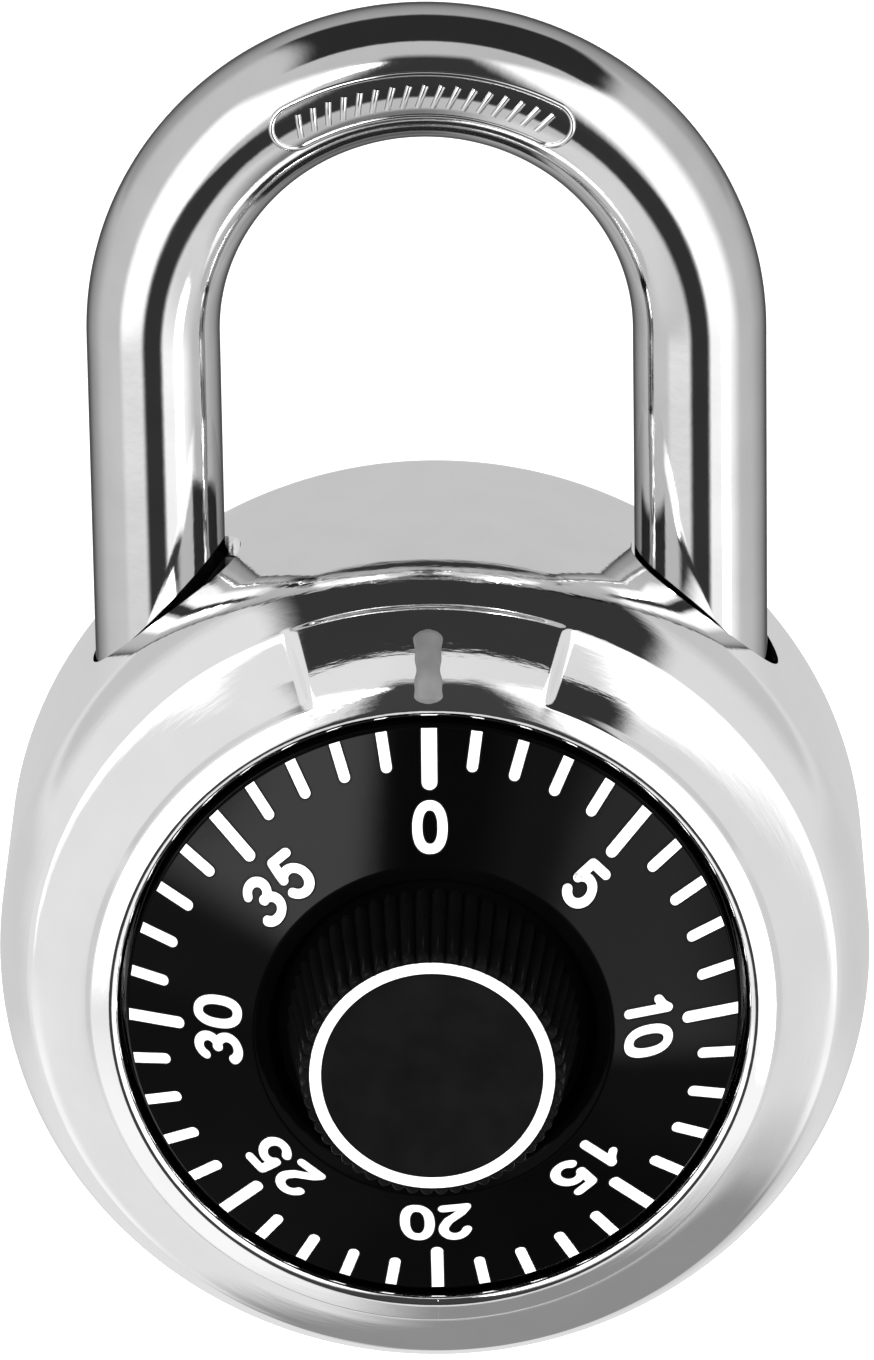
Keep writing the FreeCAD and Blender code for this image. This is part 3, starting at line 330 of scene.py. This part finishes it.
wheel_brass = material("wheel_brass", (0.72, 0.54, 0.25),
                       metallic=1.0, roughness=0.3, spread=0.1, grain=350,
                       bump=4e-6, bump_scale=800, tone=0.15)

# the nodes inside the case keep their shape and get a finish by slot
INNER_FINISH = {
    "inner_steel": sheet_steel, "lever_steel": blank_steel, "pin_steel": pin_steel,
    "spring_wire": spring_steel, "turned_brass": turned_brass, "wheel_brass": wheel_brass,
}
for part in frame["record"]["subparts"]:
    finish = INNER_FINISH.get(part["material_slot"])
    if finish:
        node = frame["nodes"][part["node"]]
        node.data.materials.clear()
        node.data.materials.append(finish)

# ---- mesh helpers ------------------------------------------------------------


def mesh_object(name, points, faces, finish, sharp=35):
    """Object from points in millimetres about the dial axis."""
    mesh = bpy.data.meshes.new(name)
    mesh.from_pydata([(CENTRE_X + p[0] * MM, p[1] * MM, AXIS_Z + p[2] * MM)
                      for p in points], [], faces)
    mesh.validate()
    made = bpy.data.objects.new(name, mesh)
    bpy.context.collection.objects.link(made)
    tidy_normals(made, sharp)
    mesh.materials.append(finish)
    return made


def tidy_normals(made, sharp):
    """Faces outwards and shaded smooth, but for edges over sharp degrees."""
    work = bmesh.new()
    work.from_mesh(made.data)
    bmesh.ops.recalc_face_normals(work, faces=work.faces)
    work.to_mesh(made.data)
    work.free()
    made.data.shade_smooth()
    made.data.set_sharp_from_angle(angle=math.radians(sharp))


def rounded(outline, detail=6):
    """Points of an outline of (r, y) or (r, y, rounding radius) corners."""
    points = []
    for index, corner in enumerate(outline):
        here = np.array(corner[:2], float)
        if len(corner) < 3:
            points.append(here)
            continue
        before = np.array(outline[index - 1][:2], float) - here
        after = np.array(outline[(index + 1) % len(outline)][:2], float) - here
        before /= np.linalg.norm(before)
        after /= np.linalg.norm(after)
        half = math.acos(np.clip(before @ after, -1, 1)) / 2
        reach = corner[2] / math.tan(half)
        towards_centre = (before + after) / np.linalg.norm(before + after)
        centre = here + towards_centre * corner[2] / math.sin(half)
        start, end = here + before * reach - centre, here + after * reach - centre
        for step in range(detail + 1):
            share = step / detail
            spread = math.pi - 2 * half
            points.append(centre + (start * math.sin((1 - share) * spread)
                                    + end * math.sin(share * spread)) / math.sin(spread))
    return points


def lathe(name, rows, count, finish, closed=True, sharp=35):
    """Ring of count sections; rows(turn) gives the (r, y) points at that turn.

    The turn is measured clockwise from +Z, seen from the front.
    """
    points, faces = [], []
    for index in range(count):
        turn = 2 * math.pi * index / count
        section = rows(turn) if callable(rows) else rows
        points += [(r * math.sin(turn), y, r * math.cos(turn)) for r, y in section]
    length = len(points) // count
    spans = length if closed else length - 1
    for index in range(count):
        here, there = index * length, (index + 1) % count * length
        for row in range(spans):
            following = (row + 1) % length
            faces.append((here + row, there + row, there + following, here + following))
    if not closed:
        for row in (0, length - 1):
            faces.append([index * length + row for index in range(count)])
    return mesh_object(name, points, faces, finish, sharp)


def cut(made, tools, sharp=35):
    """Subtract the tool objects from the piece, and remove them."""
    for tool in tools:
        modifier = made.modifiers.new("cut", "BOOLEAN")
        modifier.operation = "DIFFERENCE"
        modifier.solver = "EXACT"
        modifier.object = tool
    bpy.context.view_layer.update()
    result = bpy.data.meshes.new_from_object(
        made.evaluated_get(bpy.context.evaluated_depsgraph_get()))
    made.modifiers.clear()
    made.data = result
    for tool in tools:
        bpy.data.objects.remove(tool)
    made.data.shade_smooth()
    made.data.set_sharp_from_angle(angle=math.radians(sharp))


def upright_rod(name, across, radius, low, high, finish, count=96):
    """Cylinder along Z, about the line (across, 0)."""
    points, faces = [], []
    for level in (low, high):
        points += [(across + radius * math.cos(2 * math.pi * i / count),
                    radius * math.sin(2 * math.pi * i / count), level) for i in range(count)]
    for i in range(count):
        j = (i + 1) % count
        faces.append((i, j, count + j, count + i))
    faces += [list(range(count))[::-1], list(range(count, 2 * count))]
    return mesh_object(name, points, faces, finish)


def piece(made, body, slot, *nodes):
    """Put a piece on its body, in place of the named nodes; slot is not used."""
    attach(made, body)
    if nodes:
        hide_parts(*nodes)


# ---- outer case --------------------------------------------------------------

PAD_HALF, PAD_EDGE = math.radians(20.0), math.radians(1.0)
LIP_R, LIP_Y, RIM_R = 17.7, -14.85, 22.3            # face: from the lip out to the rim
BAND_FRONT, LIP_REAR, INNER_R = -6.3, 7.6, 23.0     # side band, and the radius inside it
CRIMP_R, CRIMP_Y = 21.7, 6.6                        # lip crimped over the rear cover
BORE_R, PAN_WALL_R, SPINDLE_HOLE_R = 17.05, 18.05, 3.6
PAN_Y, PAN_REAR = -12.0, -11.0                      # floor behind the dial
SHOULDER_LEAN, SHOULDER_START, SHOULDER_END = math.radians(54), 1.3, 2.0
TOE_HOLE, HEEL_HOLE = (-14.55, 4.15), (15.1, 4.05)  # x and radius of the leg holes


def smooth_step(low, high, number):
    """0 below low and 1 above high, with a smooth rise between."""
    share = min(max((number - low) / (high - low), 0.0), 1.0)
    return share * share * (3 - 2 * share)


def slope_line(start, stations):
    """(r, y) points of a line whose slope in degrees is given at radii."""
    spacing = 0.04
    radii = np.arange(start[0], stations[-1][0] + spacing / 2, spacing)
    slopes = np.radians(np.interp(radii, *zip(*stations)))
    drops = np.tan((slopes[1:] + slopes[:-1]) / 2) * np.diff(radii)
    return np.column_stack([radii, start[1] + np.concatenate([[0], np.cumsum(drops)])])


def face_rows():
    """(r, y) across the front face from the lip to the rim: channel, then pad."""
    channel = slope_line((LIP_R, LIP_Y), [
        (LIP_R, 18), (18.62, 21), (18.72, 68), (18.90, 68), (19.02, 52), (19.5, 47),
        (20.2, 41), (21.5, 38), (21.85, 30), (22.0, 27), (22.18, 44), (RIM_R, 52)])
    pad = slope_line((LIP_R, LIP_Y), [
        (LIP_R, 18), (18.5, 22), (19.0, 30), (19.8, 40), (20.2, 43), (20.6, 45.5), (21.9, 47),
        (22.02, 50), (22.14, 74), (22.2, 74), (RIM_R, 50)])
    pad[:, 1] += np.interp(pad[:, 0], [22.0, RIM_R], [0, channel[-1, 1] - pad[-1, 1]])
    return channel, pad


def case_section():
    """Function that gives the shell's closed (r, y) section at a turn."""
    channel, pad = face_rows()
    fine = np.concatenate([
        np.linspace(LIP_R, 18.55, 8), np.linspace(18.6, 19.1, 31),
        np.linspace(19.14, 21.7, 24), np.linspace(21.74, RIM_R, 22)])
    lip = [tuple(point) for point in rounded(
        [(BORE_R, -13.0), (BORE_R, -14.9, 0.55), (LIP_R, LIP_Y)], 8)[1:-1]]
    floor = np.interp(fine, channel[:, 0], channel[:, 1])
    crown = np.interp(fine, pad[:, 0], pad[:, 1])
    start = np.array([RIM_R, floor[-1]])
    end = np.array([CASE_R, BAND_FRONT])
    first = start + np.array([math.cos(SHOULDER_LEAN), math.sin(SHOULDER_LEAN)]) * SHOULDER_START
    last = end - np.array([0, SHOULDER_END])
    shoulder = [tuple(start * (1 - t) ** 3 + first * 3 * t * (1 - t) ** 2
                      + last * 3 * t * t * (1 - t) + end * t ** 3)
                for t in np.linspace(0, 1, 26)[1:]]
    shared = [tuple(point) for point in rounded([
        (CASE_R, BAND_FRONT), (CASE_R, LIP_REAR, 1.1), (CRIMP_R, LIP_REAR, 0.2),
        (CRIMP_R, CRIMP_Y), (INNER_R, CRIMP_Y), (INNER_R, BAND_FRONT), (21.9, -10.0),
        (PAN_WALL_R, -13.2), (PAN_WALL_R, PAN_REAR), (SPINDLE_HOLE_R, PAN_REAR),
        (SPINDLE_HOLE_R, PAN_Y), (16.9, PAN_Y), (BORE_R, -12.15)], 8)[1:]]

    def rows(turn):
        angle = abs((turn + math.pi) % (2 * math.pi) - math.pi)
        on_pad = 1 - smooth_step(PAD_HALF - PAD_EDGE, PAD_HALF + PAD_EDGE, angle)
        face = floor + (crown - floor) * on_pad
        return lip + list(zip(fine, face)) + shoulder + shared

    return rows


case = lathe("front_case_shell", case_section(), 720, chrome, sharp=40)
cut(case, [upright_rod("toe_tool", *TOE_HOLE, 4, 26, chrome),
           upright_rod("heel_tool", *HEEL_HOLE, 4, 26, chrome)], 40)
piece(case, "case", "polished_case", "front_case")

HUB = 0.001     # radius of the tiny flat cap that closes a disc in the middle
COVER_BACK, COVER_STEP, COVER_FRONT, COVER_STEP_R, COVER_R = 7.8, 6.62, 5.25, 21.5, 22.85
cover = lathe("rear_cover_disc", rounded([
    (HUB, COVER_BACK), (COVER_STEP_R, COVER_BACK, 0.45), (COVER_STEP_R, COVER_STEP),
    (COVER_R, COVER_STEP), (COVER_R, COVER_FRONT), (HUB, COVER_FRONT)]),
    180, cover_steel, closed=False)
piece(cover, "case", "polished_case", "rear_cover")

# ---- shackle -----------------------------------------------------------------

LEG, BAR, BOW_Z = 14.9, 3.65, 34.05     # legs' distance from the middle, bar's radius, bow's start
HEEL_END, TOE_END, TOE_ROUND = -9.5, 9.6, 0.9
GROOVE_Z, GROOVE_R, GROOVE_HALF = -7.9, 2.9, 0.6
NOTCH_DEPTH, NOTCH_LOW, NOTCH_SLOPE_TOP, NOTCH_TOP = 1.7, 10.3, 16.0, 18.6


def bow_point(along, around, lift=0.0):
    """Point on the bow: along from +X over the top, around from outwards to the front."""
    reach = LEG + (BAR + lift) * math.cos(around)
    return (reach * math.cos(along), -(BAR + lift) * math.sin(around),
            BOW_Z + reach * math.sin(along))


def shackle_mesh():
    """Bar from the long leg's heel over the bow to the short leg's toe."""
    sides = 128
    path = []
    for height, shrink in ((HEEL_END, 0.5), (HEEL_END + 0.3, 0.12), (HEEL_END + 0.5, 0.0)):
        path.append(("leg", 1, height, shrink))
    path += [("leg", 1, height, 0.0) for height in np.linspace(HEEL_END + 1.5, BOW_Z, 30)]
    path += [("bow", angle, 0, 0.0) for angle in np.linspace(0, math.pi, 161)[1:-1]]
    path += [("leg", -1, height, 0.0) for height in np.linspace(BOW_Z, TOE_END + 2.0, 18)]
    for share in np.linspace(0, 1, 7):
        path.append(("leg", -1, TOE_END + TOE_ROUND * (1 - math.sin(share * math.pi / 2)),
                     TOE_ROUND * (1 - math.cos(share * math.pi / 2))))
    points, faces = [], []
    for kind, where, height, shrink in path:
        for index in range(sides):
            around = 2 * math.pi * index / sides
            if kind == "bow":
                points.append(bow_point(where, around))
            else:
                reach = LEG + (BAR - shrink) * math.cos(around)
                points.append((where * reach, -(BAR - shrink) * math.sin(around), height))
    for row in range(len(path) - 1):
        for index in range(sides):
            following = (index + 1) % sides
            faces.append((row * sides + index, row * sides + following,
                          (row + 1) * sides + following, (row + 1) * sides + index))
    last = (len(path) - 1) * sides
    faces += [list(range(sides))[::-1], list(range(last, last + sides))]
    return mesh_object("shackle_bar", points, faces, shackle_chrome, 40)


def prism(name, outline, front, rear, finish):
    """Solid of an (x, z) outline between two depths."""
    count = len(outline)
    points = [(x, y, z) for y in (front, rear) for x, z in outline]
    faces = [list(range(count)), list(range(count, 2 * count))[::-1]]
    faces += [(i, (i + 1) % count, count + (i + 1) % count, count + i) for i in range(count)]
    return mesh_object(name, points, faces, finish)


shackle = shackle_mesh()
inside = BAR - LEG
past_bar = 5.0
groove = lathe("groove_tool", rounded([
    (GROOVE_R, -GROOVE_HALF), (past_bar, -GROOVE_HALF), (past_bar, GROOVE_HALF),
    (GROOVE_R, GROOVE_HALF)]), 96, shackle_chrome)
groove.data.transform(Matrix.Translation((-CENTRE_X, 0, -AXIS_Z)))
groove.data.transform(Matrix.Rotation(math.pi / 2, 4, "X"))
groove.data.transform(Matrix.Translation((CENTRE_X + LEG * MM, 0, AXIS_Z + GROOVE_Z * MM)))
cut(shackle, [
    prism("notch_tool", [
        (inside - NOTCH_DEPTH, NOTCH_SLOPE_TOP), (inside, NOTCH_LOW), (inside + 1, NOTCH_LOW),
        (inside + 1, NOTCH_TOP), (inside - NOTCH_DEPTH, NOTCH_TOP)], -6, 6, shackle_chrome),
    groove], 40)
piece(shackle, "shackle", "shackle_steel", "shackle")


def bead(name, path, radius, finish, loop=False, sides=10):
    """Rounded bead along points on the bow; each is (along, around)."""
    course = [Vector(bow_point(*point)) for point in path]
    outward = [(Vector(bow_point(*point, 1.0)) - Vector(bow_point(*point))).normalized()
               for point in path]
    count = len(course)
    points, faces = [], []
    for index in range(count):
        before = course[(index - 1) % count if loop else max(index - 1, 0)]
        after = course[(index + 1) % count if loop else min(index + 1, count - 1)]
        along = (after - before).normalized()
        side = along.cross(outward[index]).normalized()
        for corner in range(sides):
            angle = 2 * math.pi * corner / sides
            points.append(course[index] + side * math.cos(angle) * radius
                          + outward[index] * math.sin(angle) * radius * 0.7)
    for row in range(count if loop else count - 1):
        following = (row + 1) % count
        for corner in range(sides):
            next_corner = (corner + 1) % sides
            faces.append((row * sides + corner, row * sides + next_corner,
                          following * sides + next_corner, following * sides + corner))
    if not loop:
        faces += [list(range(sides))[::-1], list(range((count - 1) * sides, count * sides))]
    return mesh_object(name, points, faces, finish, 60)


def stadium(half_along, half_around, middle_around, steps=24, straights=30):
    """Outline with round ends on the bow; its half sizes are angles."""
    ratio = BAR / (LEG + BAR * math.cos(middle_around))
    cap = half_around * ratio
    outline = []
    for side in (1, -1):
        for step in range(steps + 1):
            turn = -math.pi / 2 + math.pi * step / steps
            outline.append((math.pi / 2 + side * (half_along - cap + cap * math.cos(turn)),
                            middle_around + side * half_around * math.sin(turn)))
        start = half_along - cap
        outline += [(math.pi / 2 + side * start * (1 - 2 * i / straights),
                     middle_around + side * half_around) for i in range(1, straights)]
    return outline


# raised stamp: slanted ribs in a rounded outline
STAMP_MIDDLE, STAMP_HALF_ALONG, STAMP_HALF_AROUND = map(math.radians, (96, 33, 20))
RIBS_HALF_ALONG, RIB_HALF_AROUND, RIB_LEAN = map(math.radians, (27, 10, 0.9))
OUTLINE_BEAD, RIB_BEAD, RIBS, RIB_SPANS = 0.16, 0.17, 17, 8

beads = [bead("stamp_outline", stadium(STAMP_HALF_ALONG, STAMP_HALF_AROUND, STAMP_MIDDLE),
              OUTLINE_BEAD, shackle_chrome, loop=True)]
for rib in range(RIBS):
    along = math.pi / 2 + RIBS_HALF_ALONG * (1 - 2 * rib / (RIBS - 1))
    shares = [1 - 2 * i / RIB_SPANS for i in range(RIB_SPANS + 1)]
    beads.append(bead("stamp_rib_%d" % rib, [
        (along + RIB_LEAN * share, STAMP_MIDDLE + RIB_HALF_AROUND * share)
        for share in shares], RIB_BEAD, shackle_chrome))
for made in beads:
    piece(made, "shackle", "shackle_steel")

# ---- dial --------------------------------------------------------------------

HUB_R, HUB_Y, EDGE_R, EDGE_Y, DIAL_R, DIAL_REAR = 9.75, -17.85, 16.57, -14.75, 16.75, -12.6
DISH_Y, DISH_R, DISH_TOP_R, BORE = -16.5, 8.45, 8.9, 2.4     # sunk middle under the knob
SLOPE = math.atan2(EDGE_Y - HUB_Y, EDGE_R - HUB_R)
MARKS, EVERY = 40, 5                                         # every fifth mark is long
LONG_MARK, SHORT_MARK = 3.35, 2.25
ZERO_HALF, LONG_HALF, SHORT_HALF = 0.42, 0.33, 0.3           # half widths
NUMERAL_INWARD, NUMERAL_HEIGHT, NUMERAL_HALF, ADVANCE, TEN_SQUEEZE = 5.35, 2.9, 0.27, 0.72, 0.92

dial = lathe("dial_plate", rounded([
    (BORE, DISH_Y), (DISH_R, DISH_Y, 0.2), (DISH_TOP_R, -17.55, 0.3), (HUB_R, HUB_Y, 0.35),
    (EDGE_R, EDGE_Y, 0.12), (DIAL_R, EDGE_Y + 0.18, 0.08), (DIAL_R, DIAL_REAR),
    (BORE, DIAL_REAR)]), 360, dial_black)
piece(dial, "dial", "dial_black", "dial")


def on_cone(inward, across, clock, rise):
    """Point on the dial's cone: inward from the edge along the slope, across clockwise."""
    reach = EDGE_R - inward * math.cos(SLOPE) + rise * math.sin(SLOPE)
    depth = EDGE_Y - inward * math.sin(SLOPE) - rise * math.cos(SLOPE)
    angle = clock + across / (EDGE_R - inward * math.cos(SLOPE))
    return (reach * math.sin(angle), depth, reach * math.cos(angle))


def stroke_outline(course, half, loop=False):
    """Left and right sides of a stroke of constant width."""
    course = [np.array(point, float) for point in course]
    count = len(course)
    left, right_side = [], []
    for index in range(count):
        before = course[(index - 1) % count if loop else max(index - 1, 0)]
        after = course[(index + 1) % count if loop else min(index + 1, count - 1)]
        along = (after - before) / np.linalg.norm(after - before)
        normal = np.array([-along[1], along[0]])
        here_before = course[index] - before
        here_after = after - course[index]
        stretch = 1.0
        lengths = np.linalg.norm(here_before), np.linalg.norm(here_after)
        if min(lengths) > 0:
            cosine = (here_before @ here_after) / lengths[0] / lengths[1]
            stretch = 1 / max(math.sqrt(max((1 + cosine) / 2, 0)), 0.55)
        left.append(course[index] + normal * half * stretch)
        right_side.append(course[index] - normal * half * stretch)
    return left, right_side


def ribbon(course, half, place, rise, depth, loop=False, caps=(True, True)):
    """Points and faces of a flat raised stroke; place maps (across, up, rise)."""
    left, right_side = stroke_outline(course, half, loop)
    points, faces = [], []

    def slab(outline):
        first = len(points)
        count = len(outline)
        points.extend(place(a, b, rise) for a, b in outline)
        points.extend(place(a, b, -depth) for a, b in outline)
        faces.append(list(range(first, first + count)))
        faces.extend((first + i, first + (i + 1) % count, first + count + (i + 1) % count,
                      first + count + i) for i in range(count))

    count = len(course)
    for index in range(count if loop else count - 1):
        j = (index + 1) % count
        slab([left[index], left[j], right_side[j], right_side[index]])
    if not loop:
        for end, cap in ((0, caps[0]), (-1, caps[1])):
            if cap:
                centre = np.array(course[end], float)
                slab([centre + half * np.array([math.cos(t), math.sin(t)])
                      for t in np.linspace(0, 2 * math.pi, 20, endpoint=False)])
    return points, faces


def arc(centre_x, centre_y, radius_x, radius_y, start, end, steps=18, power=1.0):
    """Points of an oval arc between two angles in degrees; a power under 1 squares it."""
    course = []
    for step in range(steps + 1):
        angle = math.radians(start + (end - start) * step / steps)
        c, s = math.cos(angle), math.sin(angle)
        course.append((centre_x + radius_x * math.copysign(abs(c) ** power, c),
                       centre_y + radius_y * math.copysign(abs(s) ** power, s)))
    return course


# strokes of each digit about its middle, one high with their width: (points, whether closed)
DIGITS = {
    "0": [(arc(0, 0, 0.235, 0.405, 0, 360, 40, 0.86)[:-1], True)],
    "1": [([(-0.14, 0.235), (-0.03, 0.30), (0.04, 0.38)], False),
          ([(0.05, 0.405), (0.05, -0.405)], False)],
    "2": [(arc(0, 0.175, 0.225, 0.23, 165, -25, 16)
           + [(0.13, -0.06), (0.0, -0.17), (-0.12, -0.27), (-0.20, -0.38)], False),
          ([(-0.21, -0.405), (0.23, -0.405)], False)],
    "3": [(arc(-0.01, 0.205, 0.205, 0.2, 155, -85, 18), False),
          (arc(-0.01, -0.19, 0.23, 0.215, 88, -155, 20), False)],
    "5": [([(-0.13, 0.405), (0.20, 0.405)], False), ([(-0.13, 0.405), (-0.18, 0.02)], False),
          (arc(0.0, -0.135, 0.23, 0.265, 142, -150, 22), False)],
}


def join(parts):
    """Points and faces of several (points, faces) together."""
    points, faces = [], []
    for some_points, some_faces in parts:
        first = len(points)
        points += some_points
        faces += [[first + index for index in face] for face in some_faces]
    return points, faces


def numeral(text, clock, inward, height, half, rise, depth):
    """Digits whose tops point outwards."""
    parts = []
    for index, letter in enumerate(text):
        shift = (index - (len(text) - 1) / 2) * ADVANCE
        if text == "10":
            shift *= TEN_SQUEEZE

        def place(across, up, level, shift=shift):
            return on_cone(inward - up, across, clock, level)

        for course, loop in DIGITS[letter]:
            course = [((a + shift) * height, b * height) for a, b in course]
            parts.append(ribbon(course, half, place, rise, depth, loop))
    return join(parts)


def tick(clock, length, half, start, rise, depth):
    """Mark that runs inwards from the dial's edge, round at its inner end."""
    def place(across, inward, level):
        return on_cone(inward, across, clock, level)

    return ribbon([(0, start), (0, length - half)], half, place, rise, depth, caps=(False, True))


def marks(widen, rise, depth):
    """All marks and numerals of the dial, widened all round."""
    parts = []
    for index in range(MARKS):
        clock = 2 * math.pi * index / MARKS
        long_mark = index % EVERY == 0
        half = (ZERO_HALF if index == 0 else LONG_HALF) if long_mark else SHORT_HALF
        length = LONG_MARK if long_mark else SHORT_MARK
        parts.append(tick(clock, length + widen, half + widen, 0.02, rise, depth))
    numerals = MARKS // EVERY
    for index in range(numerals):
        parts.append(numeral(str(index * EVERY), 2 * math.pi * index / numerals,
                             NUMERAL_INWARD, NUMERAL_HEIGHT, NUMERAL_HALF + widen, rise, depth))
    return join(parts)


MARK_DEPTH = 0.05
recesses = mesh_object("dial_mark_recesses", *marks(0.09, 0.006, MARK_DEPTH), recess_black, 30)
piece(recesses, "dial", "dial_black")
fills = mesh_object("dial_marks", *marks(0.0, 0.016, MARK_DEPTH), white_fill, 30)
piece(fills, "dial", "dial_white", "dial_graduations")

# ---- knob --------------------------------------------------------------------

KNOB_FRONT, KNOB_FOOT, FLUTES, FLUTE_DEPTH = -23.6, -16.5, 54, 0.35
FOOT_R, TOP_R, EDGE_HEIGHT = 7.95, 7.1, 0.35
RING_IN, RING_OUT, RING_DEPTH, RING_CLEAR = 5.95, 6.6, 0.2, 0.01


def knob_rows(turn):
    """Open (r, y) section of the fluted grip, ending just within the ring's groove."""
    wave = abs(math.sin(turn * FLUTES / 2)) ** 0.8
    section = []
    for share in np.linspace(0, 1, 9):
        crest = FOOT_R + (TOP_R - FOOT_R) * share
        section.append((crest - FLUTE_DEPTH * (1 - wave),
                        KNOB_FOOT + (KNOB_FRONT + EDGE_HEIGHT - KNOB_FOOT) * share))
    rim = TOP_R - FLUTE_DEPTH * (1 - wave)
    section += [(rim - 0.07, KNOB_FRONT + 0.12), (rim - 0.26, KNOB_FRONT + 0.02),
                (6.68, KNOB_FRONT), (RING_OUT, KNOB_FRONT + 0.02),
                (RING_OUT, KNOB_FRONT + RING_DEPTH), (RING_IN, KNOB_FRONT + RING_DEPTH),
                (RING_IN, KNOB_FRONT + 0.02), (5.87, KNOB_FRONT)]
    return section


grip = lathe("knob_grip", knob_rows, FLUTES * 12, knob_black, closed=False, sharp=50)
piece(grip, "dial", "knob_black", "knob")
inlay_in, inlay_out, inlay_y = RING_IN + RING_CLEAR, RING_OUT - RING_CLEAR, KNOB_FRONT - 0.005
ring = lathe("knob_inlay", rounded([
    (inlay_in, KNOB_FRONT + RING_DEPTH), (inlay_in, inlay_y, 0.05), (inlay_out, inlay_y, 0.05),
    (inlay_out, KNOB_FRONT + RING_DEPTH)], 4), 180, white_fill)
piece(ring, "dial", "dial_white", "knob_ring")
FACE_R = 5.9
disc = lathe("knob_face", [(HUB, KNOB_FRONT - 0.004), (5.0, KNOB_FRONT - 0.004),
                           (FACE_R, KNOB_FRONT - 0.002), (FACE_R, KNOB_FRONT + 0.1),
                           (HUB, KNOB_FRONT + 0.1)], 180, knob_face_black, closed=False)
piece(disc, "dial", "knob_black")

# ---- index mark --------------------------------------------------------------


MARK_START, MARK_END, MARK_HALF, MARK_RISE = 17.95, 21.3, 0.72, 0.2


def mark_mesh():
    """Brushed-on paint: a bar with rough rounded ends on the pad."""
    rows, columns = 40, 9
    pad = face_rows()[1]
    points, faces = [], []
    for row in range(rows + 1):
        share = row / rows
        reach = MARK_START + (MARK_END - MARK_START) * share
        depth = np.interp(reach, pad[:, 0], pad[:, 1])
        end = min(share, 1 - share) * 8
        half = MARK_HALF * min(1, math.sqrt(max(0.02, 1 - (1 - min(end, 1)) ** 2)))
        half *= 1 + 0.07 * math.sin(share * 9.0) + 0.05 * math.sin(share * 23.0)
        for column in range(columns):
            side = -1 + 2 * column / (columns - 1)
            rise = MARK_RISE * (1 - side ** 4) * min(1, end * 2.5)
            points.append((side * half, depth - rise * 0.77, reach + rise * 0.64))
    for row in range(rows):
        for column in range(columns - 1):
            a = row * columns + column
            faces.append((a, a + 1, a + columns + 1, a + columns))
    return mesh_object("index_stripe", points, faces, mark_paint, 60)


stripe = mark_mesh()
piece(stripe, "case", "index_paint", "index_mark")

# ---- floor -------------------------------------------------------------------


FLOOR_DROP, FLOOR_REACH = 0.05, 3.0


def floor_plane():
    """Plain pale floor below the lock, which nothing else reflects."""
    mesh = bpy.data.meshes.new("floor")
    z = case_low[2] - FLOOR_DROP
    reach = FLOOR_REACH
    corners = [(-reach, -reach, z), (reach, -reach, z), (reach, reach, z), (-reach, reach, z)]
    mesh.from_pydata(corners, [], [(0, 1, 2, 3)])
    made = bpy.data.objects.new("floor", mesh)
    bpy.context.collection.objects.link(made)
    paper = bpy.data.materials.new("pale_floor")
    paper.use_nodes = True
    tree = paper.node_tree
    shader = tree.nodes["Principled BSDF"]
    shader.inputs["Base Color"].default_value = (0.9, 0.9, 0.9, 1)
    shader.inputs["Roughness"].default_value = 0.8
    shader.inputs["Emission Color"].default_value = (1, 1, 1, 1)
    shader.inputs["Emission Strength"].default_value = 0.75
    mesh.materials.append(paper)
    made.visible_glossy = False
    made.visible_diffuse = False
    made.visible_shadow = False


floor_plane()
bpy.context.scene.view_settings.view_transform = "Standard"
